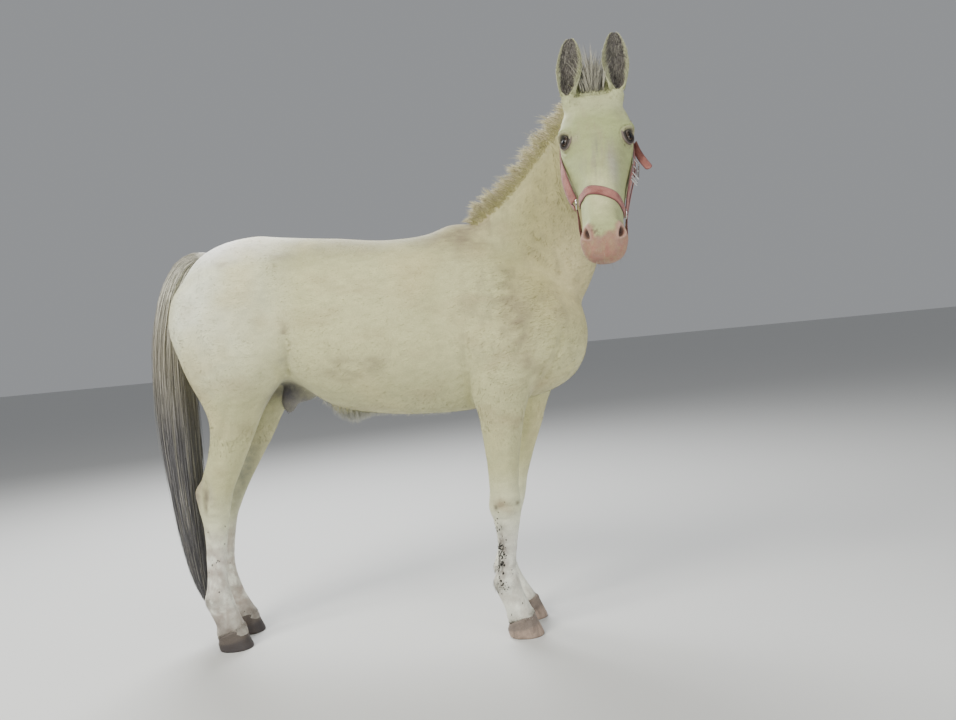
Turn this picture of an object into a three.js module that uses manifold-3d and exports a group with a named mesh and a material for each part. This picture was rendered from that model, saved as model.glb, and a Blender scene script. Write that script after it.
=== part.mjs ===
// A standing mule, life size, wearing a webbing halter.
// Millimetres, +Z up, +X towards the chest, +Y towards the mule's left.
// The model's origin is under the middle of its box, on the floor.

import * as THREE from 'three';
import { LoftGeometry } from 'three/addons/geometries/LoftGeometry.js';
import { mergeVertices } from 'three/addons/utils/BufferGeometryUtils.js';
import Module from 'manifold-3d';

const wasm = await Module();
wasm.setup();

// Driving sizes
const GAP = 0.3;                 // between touching nodes
const SIDES = { left: 1, right: -1 };

// Trunk sections from rump to breast:
// x, top, bottom, half width, height of the widest level (0 bottom to 1 top), top and bottom shape
const TRUNK = [
  [-585, 1225, 1030, 95, 0.50, 2.0, 2.0],
  [-560, 1305, 960, 150, 0.50, 2.0, 2.0],
  [-500, 1372, 910, 192, 0.52, 2.0, 2.0],
  [-410, 1408, 886, 222, 0.55, 2.0, 2.1],
  [-300, 1419, 888, 236, 0.58, 2.0, 2.1],
  [-230, 1409, 896, 236, 0.57, 2.0, 2.2],
  [-165, 1400, 866, 235, 0.54, 2.0, 2.2],
  [-95, 1391, 812, 234, 0.49, 2.0, 2.2],
  [0, 1379, 776, 235, 0.46, 2.0, 2.2],
  [150, 1357, 752, 230, 0.44, 2.0, 2.1],
  [290, 1360, 744, 215, 0.43, 1.8, 2.0],
  [385, 1386, 746, 198, 0.42, 1.5, 2.0],
  [480, 1368, 752, 190, 0.42, 1.5, 2.0],
  [580, 1300, 766, 190, 0.44, 1.7, 2.1],
  [680, 1215, 795, 176, 0.46, 1.9, 2.2],
  [750, 1140, 838, 145, 0.48, 2.0, 2.2],
  [790, 1085, 900, 96, 0.50, 2.0, 2.0],
];

// Muscles that swell or sink on both sides of the trunk:
// centre x, y, z, reach along x, y, z, how far they stand out
const TRUNK_FORMS = [
  [-400, 220, 1120, 170, 160, 150, 12],    // haunch
  [-185, 215, 1290, 60, 80, 55, 10],       // point of the hip
  [-205, 235, 1160, 70, 80, 90, -12],      // hollow of the flank
  [-245, 225, 985, 80, 80, 80, 8],         // stifle
  [505, 185, 935, 105, 90, 95, 12],        // triceps
  [470, 150, 1180, 90, 90, 150, 8],        // shoulder blade
  [690, 150, 1010, 60, 70, 75, 12],        // point of the shoulder
  [800, 60, 985, 60, 50, 75, 12],          // breast
];

// Crest line, throat line and half width of the neck, from inside the trunk to inside the head
const NECK = [
  [400, 0, 1330, 640, 0, 900, 112],
  [470, -5, 1398, 735, 0, 1000, 128],
  [560, -28, 1446, 800, -6, 1085, 114],
  [640, -88, 1506, 846, -48, 1172, 97],
  [712, -165, 1565, 872, -112, 1270, 86],
  [785, -250, 1616, 880, -170, 1368, 79],
  [845, -322, 1650, 874, -218, 1455, 74],
  [868, -368, 1650, 868, -270, 1510, 62],
];
const NECK_SHAPE = { crest: 1.6, throat: 2.0 };
// Mane: rows of the neck it runs between, the way it stands, and its locks
const MANE = {
  from: 1.1, to: 5.4, stand: new THREE.Vector3(-0.1, 0.25, 1),
  locks: 22, long: 78, wide: 36, thick: 11, sunk: 16, apart: 5, back: 0.36, sway: 0.25,
};

// The head's own frame: first axis down the face to the nose, second to the mule's left,
// third straight out of the face; its origin is the poll between the ears
const POLL = new THREE.Vector3(872, -352, 1666);
const FACE_LEAN = 30;            // degrees from upright
const HEAD_TURN = 92;            // degrees from straight ahead, towards the right side
const HEAD_TILT = -1.3;          // degrees, muzzle towards the mule's right

// Head sections down the face: place, face line, jaw line, half width,
// height of the widest level, shape above and below it
const HEAD = [
  [-48, -78, -128, 34, 0.50, 2.0, 2.0],
  [-22, -30, -152, 62, 0.52, 2.1, 2.0],
  [20, -4, -168, 80, 0.55, 2.3, 1.9],
  [70, 6, -192, 91, 0.60, 2.5, 1.8],
  [120, 9, -224, 102, 0.64, 2.6, 1.7],
  [175, 9, -252, 103, 0.66, 2.6, 1.6],
  [225, 6, -262, 92, 0.58, 2.4, 1.7],
  [275, 3, -238, 79, 0.56, 2.2, 1.8],
  [325, 0, -194, 64, 0.56, 2.2, 1.9],
  [375, -1, -158, 57, 0.55, 2.2, 2.0],
  [420, -1, -137, 55, 0.52, 2.2, 2.1],
  [462, -2, -126, 56.5, 0.50, 2.3, 2.2],
  [500, -5, -118, 60, 0.50, 2.3, 2.2],
  [528, -13, -107, 57, 0.50, 2.3, 2.2],
  [547, -27, -95, 47, 0.50, 2.2, 2.2],
  [559, -46, -78, 29, 0.50, 2.0, 2.0],
];
// Forms of the head, as those of the trunk but in its own frame
const HEAD_FORMS = [
  [148, 104, -20, 34, 30, 28, 19],         // brow
  [174, 100, -38, 20, 20, 18, -8],         // eye socket
  [245, 95, -70, 70, 40, 22, 4],           // cheekbone
  [215, 70, -190, 62, 45, 60, 9],          // jowl
  [300, 55, -85, 60, 30, 25, -5],          // hollow under the cheekbone
  [500, 50, -35, 30, 26, 24, 6],           // rim of the nostril
  [462, 45, -55, 25, 25, 25, -4],          // behind the nostril
  [514, 0, -112, 26, 34, 24, 8],           // chin
  [551, 0, -50, 20, 50, 16, 4],            // upper lip
];

const EYE = { at: [171, 75, -34], radius: 21, lid: 3, opening: [17, 14], out: [0.08, 0.78, 0.62] };
const NOSTRIL = { at: [501, 43, -22], size: [17, 9, 10], turn: -35 };
const MOUTH = { corner: 482, height: -82, thick: 2.2, deep: 8 };

// Foreleg outline seen from the side: height, front edge, rear edge, distance from the midline, half width
const FORELEG = [
  [1010, 655, 450, 118, 48],
  [930, 652, 408, 120, 64],
  [860, 632, 400, 121, 69],
  [800, 608, 406, 118, 65],
  [750, 588, 417, 113, 59],
  [690, 570, 425, 107, 53],
  [620, 555, 430, 101, 47],
  [545, 543, 432, 97, 42],
  [480, 537, 431, 94, 43],
  [425, 539, 427, 92, 46],
  [385, 532, 434, 90, 40],
  [335, 521, 441, 88, 31],
  [260, 507, 438, 86, 28],
  [215, 505, 426, 85, 33],
  [178, 512, 416, 84, 37],
  [140, 521, 425, 83, 32],
  [105, 535, 438, 82, 33],
  [70, 549, 452, 81, 39],
  [40, 556, 462, 80, 41],
];
// Hind leg outline, the same way, from the point of the buttock down
const HINDLEG = [
  [1300, -370, -500, 92, 52],
  [1265, -300, -556, 104, 82],
  [1195, -225, -592, 117, 104],
  [1100, -182, -600, 124, 112],
  [1000, -180, -568, 126, 110],
  [930, -205, -545, 123, 103],
  [860, -268, -521, 113, 86],
  [800, -312, -506, 104, 71],
  [740, -343, -512, 97, 58],
  [670, -383, -530, 91, 48],
  [600, -420, -562, 87, 42],
  [550, -446, -588, 85, 40],
  [500, -463, -587, 83, 42],
  [440, -477, -577, 82, 36],
  [370, -490, -575, 81, 29],
  [260, -503, -582, 80, 28],
  [210, -500, -590, 79, 34],
  [172, -491, -599, 79, 37],
  [135, -480, -592, 78, 32],
  [102, -468, -578, 78, 33],
  [70, -455, -564, 77, 38],
  [40, -448, -556, 77, 40],
];
const LEG_SHAPE = { front: 2.2, rear: 1.7 };

// The left legs stand a little away from the right ones: height and shift along x
const FAR_FORE_SHIFT = [[1010, 60], [860, 70], [680, 58], [545, 30], [425, 2], [300, -16], [178, -18], [40, 6]];
const FAR_HIND_SHIFT = [[1300, 0], [700, 0], [550, -14], [430, -42], [300, -48], [170, -42], [70, -26], [40, -22]];

// Hoof: sole at the floor, coronet sloping back
const HOOF = { length: 116, width: 96, toeHeight: 78, heelHeight: 42, toeSlope: 30, heelSlope: 12, coronetInset: 6 };

// Ear: a leaf rolled into a cup, from its root on the head to its tip
const EAR = {
  right: { base: [20, -72, -10], tip: [821, -335, 1816] },
  left: { base: [20, 70, -10], tip: [948, -335, 1816] },
};
// Share of the length, half width, half depth
const EAR_SECTIONS = [
  [0, 21, 20], [0.12, 25, 22], [0.27, 31, 22], [0.45, 36, 20], [0.62, 35, 17],
  [0.78, 29, 13], [0.9, 21, 9], [0.97, 13, 6], [1, 5, 3],
];
const EAR_WALL = 4;

// Forelock: short locks that stand up between the ears, in the head's frame
const FORELOCK = { locks: 7, at: [4, 0, -14], spread: 26, long: 105, wide: 20, thick: 8 };

// Sheath under the belly, with a tuft of hair
const SHEATH = { at: [-18, 0, 790], size: [72, 34, 40], locks: 4, long: 46, wide: 26, thick: 11 };
// Root of the ear, sunk in the head: share of the length, half width, how far it bends inwards
const EAR_ROOT = [[-0.35, 30, 34], [-0.22, 30, 19], [-0.1, 27, 7], [0, 24, 0], [0.05, 22, 0]];

// Tail: a hank of long hair round the dock, down to the fetlocks
const TAIL = [
  [-470, 1350, 22, 24],
  [-520, 1366, 26, 28],
  [-575, 1345, 34, 38],
  [-622, 1270, 44, 52],
  [-648, 1170, 54, 64],
  [-662, 1050, 60, 74],
  [-668, 900, 62, 78],
  [-668, 720, 58, 74],
  [-662, 540, 50, 64],
  [-654, 370, 40, 50],
  [-644, 240, 27, 34],
  [-634, 170, 14, 18],
  [-628, 140, 5, 6],
];
// The dock inside the hair: its last row in the tail's table, and its share of the hank's size there
const DOCK = { last: 6, share: 0.8, end: 0.45 };
// Tiers of locks down the tail: rows of the roots and of the tips, how many, width, thickness,
// share of the hank's radius
const TAIL_TIERS = [
  { root: 1.8, tip: 6.2, locks: 5, wide: 46, thick: 15, radius: 0.86 },
  { root: 3.8, tip: 8.8, locks: 6, wide: 52, thick: 18, radius: 0.84 },
  { root: 5.2, tip: 11.2, locks: 6, wide: 58, thick: 24, radius: 0.78 },
  { root: 5.2, tip: 11.9, locks: 2, wide: 58, thick: 34, radius: 0.34 },
];
// How a lock narrows: share of its length, share of its full width
const LOCK_TAPER = [[0, 0.75], [0.3, 1], [0.65, 0.85], [0.85, 0.62], [1, 0.18]];

// Colours
const LOOKS = {
  coat: { color: 0xd9d4bd, roughness: 0.85, metalness: 0 },
  hair: { color: 0xb6ab93, roughness: 0.8, metalness: 0 },
  hoof: { color: 0x7d6f66, roughness: 0.6, metalness: 0 },
  eye: { color: 0x1c1714, roughness: 0.1, metalness: 0 },
  webbing: { color: 0xc06a68, roughness: 0.8, metalness: 0 },
  metal: { color: 0xb9b6ae, roughness: 0.3, metalness: 1 },
};

// Solid helpers

// Closed solid of a closed geometry, whichever way its faces were wound
function solidOf(geometry) {
  const bare = new THREE.BufferGeometry().copy(geometry);
  bare.deleteAttribute('normal');
  bare.deleteAttribute('uv');
  const merged = mergeVertices(bare, 1e-3);
  const index = merged.index.array;
  const position = merged.attributes.position.array;
  const kept = [];
  let volume = 0;
  for (let i = 0; i < index.length; i += 3) {
    const [a, b, c] = [index[i], index[i + 1], index[i + 2]];
    if (a === b || b === c || c === a) continue;
    kept.push(a, b, c);
    const corner = k => new THREE.Vector3().fromArray(position, 3 * k);
    volume += corner(a).dot(corner(b).cross(corner(c)));
  }
  if (volume < 0) kept.reverse();
  return new wasm.Manifold(new wasm.Mesh({
    numProp: 3,
    vertProperties: new Float32Array(position),
    triVerts: new Uint32Array(kept),
  }));
}

function union(solids) {
  return solids.reduce((sum, solid) => sum.add(solid));
}

// The piece of a solid with the most volume, with any sealed hollow filled
function largestPiece(solid) {
  return solid.decompose().reduce((best, piece) => (piece.volume() > best.volume() ? piece : best));
}

// Smooth values between the rows of a table, at a row number with a fraction
function rowAt(rows, t) {
  const i = Math.min(Math.floor(t), rows.length - 2);
  const f = t - i;
  const row = k => rows[THREE.MathUtils.clamp(k, 0, rows.length - 1)];
  return rows[0].map((_, column) => {
    const [p0, p1, p2, p3] = [-1, 0, 1, 2].map(k => row(i + k)[column]);
    const slope1 = (p2 - p0) / 2;
    const slope2 = (p3 - p1) / 2;
    const a = 2 * (p1 - p2) + slope1 + slope2;
    const b = 3 * (p2 - p1) - 2 * slope1 - slope2;
    return ((a * f + b) * f + slope1) * f + p1;
  });
}

// Straight-line value of the second column at a given value of the first
function valueAt(table, place) {
  const falling = table[0][0] > table[table.length - 1][0];
  const rows = falling ? [...table].reverse() : table;
  if (place <= rows[0][0]) return rows[0][1];
  for (let i = 1; i < rows.length; i++) {
    if (place <= rows[i][0]) {
      const f = (place - rows[i - 1][0]) / (rows[i][0] - rows[i - 1][0]);
      return rows[i - 1][1] + f * (rows[i][1] - rows[i - 1][1]);
    }
  }
  return rows[rows.length - 1][1];
}

// Egg-shaped ring: rise and drop are its reach above and below the widest level
function ring({ centre, up, side, rise, drop, half, above = 2, below = 2 }, count) {
  const points = [];
  for (let k = 0; k < count; k++) {
    const angle = (2 * Math.PI * k) / count;
    const c = Math.cos(angle);
    const s = Math.sin(angle);
    const power = 2 / (s >= 0 ? above : below);
    const sideways = half * Math.sign(c) * Math.abs(c) ** power;
    const upwards = (s >= 0 ? rise : drop) * Math.sign(s) * Math.abs(s) ** power;
    points.push(centre.clone().addScaledVector(side, sideways).addScaledVector(up, upwards));
  }
  return points;
}

function centreOf(points) {
  return points.reduce((sum, p) => sum.add(p), new THREE.Vector3()).divideScalar(points.length);
}

// Solid through a series of rings, wound so that its faces point out
function skin(rings) {
  const middle = rings[Math.floor(rings.length / 2)];
  const turning = new THREE.Vector3();
  middle.forEach((p, k) => turning.add(p.clone().cross(middle[(k + 1) % middle.length])));
  const ahead = centreOf(rings[rings.length - 1]).sub(centreOf(rings[0]));
  if (turning.dot(ahead) < 0) rings.forEach(points => points.reverse());
  return solidOf(new LoftGeometry(rings, { capStart: true, capEnd: true }));
}

// Loft through a table of rows; section() turns one smoothed row into a ring
function loft(rows, stepsPerRow, section) {
  const rings = [];
  const last = (rows.length - 1) * stepsPerRow;
  for (let k = 0; k <= last; k++) rings.push(section(rowAt(rows, k / stepsPerRow)));
  return skin(rings);
}

function ellipsoid(at, size, wide = 16, high = 10) {
  const geometry = new THREE.SphereGeometry(1, wide, high);
  geometry.scale(...size);
  geometry.translate(...at);
  return solidOf(geometry);
}

// Repeatable random numbers between -1 and 1
function randomSeries(seed) {
  let state = seed;
  return () => {
    state = (state * 1664525 + 1013904223) % 4294967296;
    return state / 2147483648 - 1;
  };
}

// Flat lock of hair along a path, broad near its root and fine at its tip
function lock(path, across, wide, thick) {
  return skin(path.map((at, k) => {
    const along = path[Math.min(k + 1, path.length - 1)].clone().sub(path[Math.max(k - 1, 0)]).normalize();
    const side = across.clone().addScaledVector(along, -across.dot(along)).normalize();
    const out = new THREE.Vector3().crossVectors(along, side);
    const taper = valueAt(LOCK_TAPER, k / (path.length - 1)) / 2;
    return [[side, wide], [out, thick], [side, -wide], [out, -thick]]
      .map(([way, size]) => at.clone().addScaledVector(way, size * taper));
  }));
}

// Big box that stands for the space on the far side of a plane
function halfSpace(point, normal, reach = 4000) {
  const geometry = new THREE.BoxGeometry(reach, reach, reach);
  geometry.translate(0, 0, reach / 2);
  const turn = new THREE.Quaternion().setFromUnitVectors(new THREE.Vector3(0, 0, 1), normal.clone().normalize());
  geometry.applyQuaternion(turn);
  geometry.translate(point.x, point.y, point.z);
  return solidOf(geometry);
}

const X = new THREE.Vector3(1, 0, 0);
const Y = new THREE.Vector3(0, 1, 0);
const Z = new THREE.Vector3(0, 0, 1);

// The head's frame as a matrix, and the same for a solid
function headMatrix() {
  const turn = THREE.MathUtils.degToRad(HEAD_TURN);
  const lean = THREE.MathUtils.degToRad(FACE_LEAN);
  const ahead = new THREE.Vector3(Math.cos(turn), -Math.sin(turn), 0);
  const nose = ahead.clone().multiplyScalar(Math.sin(lean)).addScaledVector(Z, -Math.cos(lean));
  const face = ahead.clone().multiplyScalar(Math.cos(lean)).addScaledVector(Z, Math.sin(lean));
  const tilt = THREE.MathUtils.degToRad(HEAD_TILT);
  nose.applyAxisAngle(ahead, tilt);
  face.applyAxisAngle(ahead, tilt);
  const left = new THREE.Vector3().crossVectors(face, nose);
  return new THREE.Matrix4().makeBasis(nose, left, face).setPosition(POLL);
}
const HEAD_MATRIX = headMatrix();
const headPoint = at => new THREE.Vector3(...at).applyMatrix4(HEAD_MATRIX);
const headDirection = at => new THREE.Vector3(...at).transformDirection(HEAD_MATRIX);
const placeHead = solid => solid.transform(HEAD_MATRIX.toArray());

// Moves a point away from its section's middle by the forms that reach it, alike on both sides
function swell(point, middle, forms) {
  const out = point.clone().sub(middle).normalize();
  let move = 0;
  for (const [x, y, z, rx, ry, rz, stand] of forms) {
    const dy = Math.abs(point.y) - y;
    move += stand * Math.exp(-(((point.x - x) / rx) ** 2) - (dy / ry) ** 2 - ((point.z - z) / rz) ** 2);
  }
  return point.addScaledVector(out, move);
}

function makeTrunk(grow = 0, count = 26) {
  return loft(TRUNK, 1.25, ([x, top, bottom, half, widest, above, below]) => {
    const level = bottom + widest * (top - bottom);
    const centre = new THREE.Vector3(x, 0, level);
    const points = ring({
      centre, up: Z, side: Y,
      rise: top - level + grow, drop: level - bottom + grow, half: half + grow, above, below,
    }, count);
    return points.map(p => swell(p, centre, TRUNK_FORMS));
  });
}

function makeNeck(grow = 0, count = 24) {
  return loft(NECK, 2, row => {
    const crest = new THREE.Vector3(row[0], row[1], row[2]);
    const throat = new THREE.Vector3(row[3], row[4], row[5]);
    const centre = crest.clone().lerp(throat, 0.5);
    const up = crest.clone().sub(throat);
    const reach = up.length() / 2 + grow;
    up.normalize();
    const along = new THREE.Vector3(0.45, -0.6, 0.55);
    const side = new THREE.Vector3().crossVectors(along, up).normalize();
    return ring({
      centre, up, side, rise: reach, drop: reach, half: row[6] + grow,
      above: NECK_SHAPE.crest, below: NECK_SHAPE.throat,
    }, count);
  });
}

// Head in its own frame, before its features are cut
function makeSkull(grow = 0, rows = HEAD) {
  return loft(rows, 1.4, ([s, face, jaw, half, widest, above, below]) => {
    const level = jaw + widest * (face - jaw);
    const centre = new THREE.Vector3(s, 0, level);
    const points = ring({
      centre, up: Z, side: Y,
      rise: face - level + grow, drop: level - jaw + grow, half: half + grow, above, below,
    }, 24);
    return points.map(p => swell(p, centre, HEAD_FORMS));
  });
}

function eyeCentre(side) {
  return new THREE.Vector3(EYE.at[0], EYE.at[1] * side, EYE.at[2]);
}

function eyeDirection(side) {
  return new THREE.Vector3(EYE.out[0], EYE.out[1] * side, EYE.out[2]).normalize();
}

function ball(centre, radius, wide, high) {
  return ellipsoid(centre.toArray(), [radius, radius, radius], wide, high);
}

// Almond-shaped gap between the lids, as a short oval bar along the way the eye looks
function lidOpening(side) {
  const [long, tall] = EYE.opening;
  const outline = new THREE.Shape();
  outline.absellipse(0, 0, long, tall, 0, 2 * Math.PI);
  const bar = new THREE.ExtrudeGeometry(outline, { depth: 40, bevelEnabled: false, curveSegments: 8 });
  const out = eyeDirection(side);
  const along = new THREE.Vector3(1, 0, -0.25);
  const across = new THREE.Vector3().crossVectors(out, along).normalize();
  const straight = new THREE.Vector3().crossVectors(across, out);
  bar.applyMatrix4(new THREE.Matrix4().makeBasis(straight, across, out).setPosition(eyeCentre(side)));
  return solidOf(bar);
}

// Line of the mouth: a thin wedge let into the lips right round the muzzle
function mouthLine() {
  const { corner, height, thick, deep } = MOUTH;
  const half = [];
  for (const s of [corner, corner + 22, corner + 42, corner + 58]) {
    const t = HEAD.findIndex(row => row[0] > s) - 1;
    const f = (s - HEAD[t][0]) / (HEAD[t + 1][0] - HEAD[t][0]);
    const [, face, jaw, width, widest, , below] = rowAt(HEAD, t + f);
    const level = jaw + widest * (face - jaw);
    const fall = Math.abs(height - level) / (level - jaw);
    half.push([s, width * (1 - fall ** below) ** (1 / below)]);
  }
  const path = [
    ...half.map(([s, y]) => [s, y]),
    [557, 18], [561, 0], [557, -18],
    ...half.reverse().map(([s, y]) => [s, -y]),
  ];
  const rings = path.map(([s, y], k) => {
    const [beforeS, beforeY] = path[Math.max(k - 1, 0)];
    const [afterS, afterY] = path[Math.min(k + 1, path.length - 1)];
    const out = new THREE.Vector3(beforeY - afterY, afterS - beforeS, 0).normalize();
    const taper = k === 0 || k === path.length - 1 ? 0.3 : 1;
    const centre = new THREE.Vector3(s, y, height);
    return [[1.5, 1], [1.5, -1], [-1, 0]].map(([o, h]) =>
      centre.clone().addScaledVector(out, o * deep * taper).addScaledVector(Z, h * thick * taper));
  });
  return skin(rings);
}

function nostril(side) {
  const geometry = new THREE.SphereGeometry(1, 12, 8);
  geometry.scale(...NOSTRIL.size);
  geometry.rotateY(THREE.MathUtils.degToRad(NOSTRIL.turn));
  geometry.translate(NOSTRIL.at[0], NOSTRIL.at[1] * side, NOSTRIL.at[2]);
  return solidOf(geometry);
}

// Head with lids, nostrils and mouth, in its own frame
function makeHeadLocal() {
  let head = makeSkull();
  for (const side of [1, -1]) {
    head = head.add(ball(eyeCentre(side), EYE.radius + EYE.lid, 14, 9));
    head = head.subtract(ball(eyeCentre(side), EYE.radius + GAP, 12, 8));
    head = head.subtract(lidOpening(side));
    head = head.subtract(nostril(side));
  }
  return head.subtract(mouthLine());
}

function legShift(table, z) {
  return table ? valueAt(table, z) : 0;
}

function makeLeg({ table, side, shifts }, grow = 0, count = 16) {
  return loft(table, 1, ([z, front, rear, out, half]) => {
    const shift = legShift(shifts, z);
    const middle = front - 0.45 * (front - rear) + shift;
    return ring({
      centre: new THREE.Vector3(middle, out * side, z), up: X, side: Y,
      rise: front + shift - middle + grow, drop: middle - rear - shift + grow, half: half + grow,
      above: LEG_SHAPE.front, below: LEG_SHAPE.rear,
    }, count);
  });
}

const LEGS = {
  front_right: { table: FORELEG, side: SIDES.right, shifts: null },
  front_left: { table: FORELEG, side: SIDES.left, shifts: FAR_FORE_SHIFT },
  hind_right: { table: HINDLEG, side: SIDES.right, shifts: null },
  hind_left: { table: HINDLEG, side: SIDES.left, shifts: FAR_HIND_SHIFT },
};

// Middle of a hoof on the floor, from the lowest row of its leg
function hoofPlace({ table, side, shifts }) {
  const [z, front, rear, out] = table[table.length - 1];
  return new THREE.Vector3((front + rear) / 2 + legShift(shifts, z) + 6, out * side, 0);
}

// Plane of the coronet, where leg and hoof meet
function coronetPlane(leg) {
  const at = hoofPlace(leg);
  const slope = (HOOF.toeHeight - HOOF.heelHeight) / HOOF.length;
  return {
    point: new THREE.Vector3(at.x, at.y, (HOOF.toeHeight + HOOF.heelHeight) / 2),
    normal: new THREE.Vector3(-slope, 0, 1).normalize(),
  };
}

function makeHoof(leg, count = 18) {
  const at = hoofPlace(leg);
  const rings = [];
  for (const level of [0, 0.5, 1]) {
    const points = [];
    for (let k = 0; k < count; k++) {
      const angle = (2 * Math.PI * k) / count;
      const c = Math.cos(angle);
      const s = Math.sin(angle);
      const ahead = c >= 0 ? c : -(Math.abs(c) ** 0.7);
      const toeward = (c + 1) / 2;
      const height = HOOF.heelHeight + toeward * (HOOF.toeHeight - HOOF.heelHeight);
      const back = level * (toeward * HOOF.toeSlope - (1 - toeward) * HOOF.heelSlope * -1);
      const inward = level * HOOF.coronetInset;
      points.push(new THREE.Vector3(
        at.x + ahead * HOOF.length / 2 - back,
        at.y + s * (HOOF.width / 2 - inward),
        level * height,
      ));
    }
    rings.push(points);
  }
  return skin(rings);
}

// Ear cup in the world frame: an outer leaf with an inner leaf cut out of its front
function makeEar(name, grow = 0) {
  const { base, tip } = EAR[name];
  const root = headPoint(base);
  const end = new THREE.Vector3(...tip);
  const along = end.clone().sub(root);
  const front = headDirection([0, name === 'right' ? -0.25 : 0.25, 1]);
  front.addScaledVector(along, -front.dot(along) / along.lengthSq()).normalize();
  const side = new THREE.Vector3().crossVectors(front, along).normalize();
  const leaf = (shrink, ahead, from) => {
    const rings = EAR_SECTIONS.filter(([t]) => t >= from).map(([t, half, deep]) => ring({
      centre: root.clone().addScaledVector(along, t).addScaledVector(front, ahead),
      up: front, side,
      rise: Math.max(deep - shrink, 0.6), drop: Math.max(deep - shrink, 0.6), half: Math.max(half - shrink, 0.6),
      above: 2, below: 2,
    }, 16));
    return skin(rings);
  };
  const inwards = headDirection([0.2, base[1] > 0 ? -1 : 1, -0.3]);
  const stub = skin(EAR_ROOT.map(([t, half, bend]) => ring({
    centre: root.clone().addScaledVector(along, t).addScaledVector(inwards, bend), up: front, side,
    rise: half - 2 + grow, drop: half - 2 + grow, half: half + grow,
  }, 16)));
  return leaf(-grow, 0, 0).subtract(leaf(EAR_WALL, 7, 0.1)).add(stub);
}

// Centre of the tail's hank at a row, with the way it faces and its size there
function tailAt(row) {
  const [x, z, deep, half] = rowAt(TAIL, row);
  const [aheadX, aheadZ] = rowAt(TAIL, Math.min(row + 0.1, TAIL.length - 1.001));
  const [behindX, behindZ] = rowAt(TAIL, Math.max(row - 0.1, 0));
  const up = new THREE.Vector3(behindZ - aheadZ, 0, aheadX - behindX).normalize();
  return { centre: new THREE.Vector3(x, 0, z), up, deep, half };
}

// Dock of the tail, down to where only hair is left
function makeDock(count = 10) {
  const rings = [];
  for (let row = 0; row <= DOCK.last; row++) {
    const { centre, up, deep, half } = tailAt(row);
    const share = row === DOCK.last ? DOCK.end : DOCK.share;
    rings.push(ring({ centre, up, side: Y, rise: deep * share, drop: deep * share, half: half * share }, count));
  }
  return skin(rings);
}

// Tail: locks in tiers round the dock, each running down the hank
function makeTail() {
  const random = randomSeries(7);
  const locks = [makeDock()];
  for (const { root, tip, locks: count, wide, thick, radius } of TAIL_TIERS) {
    for (let k = 0; k < count; k++) {
      const angle = (2 * Math.PI * (k + 0.3 * random())) / count;
      const drift = 0.25 * random();
      const last = tip + 0.45 * random();
      const path = [];
      for (let step = 0; step <= 4; step++) {
        const t = step / 4;
        const { centre, up, deep, half } = tailAt(Math.min(root + t * (last - root), TAIL.length - 1));
        const share = radius * (step === 0 ? 0.7 : 1);
        path.push(centre
          .addScaledVector(Y, half * share * Math.cos(angle + drift * t))
          .addScaledVector(up, deep * share * Math.sin(angle + drift * t)));
      }
      const across = Y.clone().multiplyScalar(-Math.sin(angle)).addScaledVector(X, Math.cos(angle));
      locks.push(lock(path, across, wide, thick));
    }
  }
  return union(locks);
}

// Place on the crest, with the way the crest runs and the way the mane stands
function crestAt(t) {
  const at = new THREE.Vector3(...rowAt(NECK, t));
  const ahead = new THREE.Vector3(...rowAt(NECK, t + 0.05)).sub(at).normalize();
  const up = MANE.stand.clone().addScaledVector(ahead, -MANE.stand.dot(ahead)).normalize();
  return { at, ahead, up };
}

// Mane: locks that stand along the crest and lean back over each other
function makeMane() {
  const random = randomSeries(3);
  const locks = [];
  for (let k = 0; k < MANE.locks; k++) {
    const share = k / (MANE.locks - 1);
    const { at, ahead, up } = crestAt(MANE.from + (MANE.to - MANE.from) * share);
    const side = new THREE.Vector3().crossVectors(ahead, up).normalize();
    const foot = at.addScaledVector(up, -MANE.sunk).addScaledVector(side, (k % 2 ? 1 : -1) * MANE.apart);
    const long = (MANE.long + MANE.sunk) * (0.78 + 0.22 * Math.sin(Math.PI * Math.min(share + 0.2, 0.9)) + 0.1 * random());
    const sway = MANE.sway * random() + (k % 2 ? 0.12 : -0.12);
    const path = [0, 0.35, 0.7, 1].map(t => foot.clone()
      .addScaledVector(up, long * t * (1 - 0.12 * t))
      .addScaledVector(ahead, -long * MANE.back * t * t)
      .addScaledVector(side, long * sway * t * t));
    locks.push(lock(path, ahead, MANE.wide * (1 + 0.15 * random()), MANE.thick));
  }
  return union(locks);
}

// Forelock: locks that stand up from the poll, in a loose fan
function makeForelock() {
  const random = randomSeries(11);
  const locks = [];
  for (let k = 0; k < FORELOCK.locks; k++) {
    const share = (2 * k) / (FORELOCK.locks - 1) - 1;
    const foot = headPoint([FORELOCK.at[0] + 5 * random(), FORELOCK.spread * share, FORELOCK.at[2]]);
    const long = FORELOCK.long * (0.85 - 0.25 * Math.abs(share) + 0.15 * random());
    const side = headDirection([0, 1, 0]);
    const ahead = headDirection([0, 0, 1]);
    const path = [0, 0.35, 0.7, 1].map(t => foot.clone()
      .addScaledVector(Z, long * t)
      .addScaledVector(side, long * t * t * (0.22 * share + 0.1 * random()))
      .addScaledVector(ahead, long * t * (0.12 - 0.3 * t)));
    locks.push(lock(path, side, FORELOCK.wide, FORELOCK.thick));
  }
  return union(locks);
}

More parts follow.
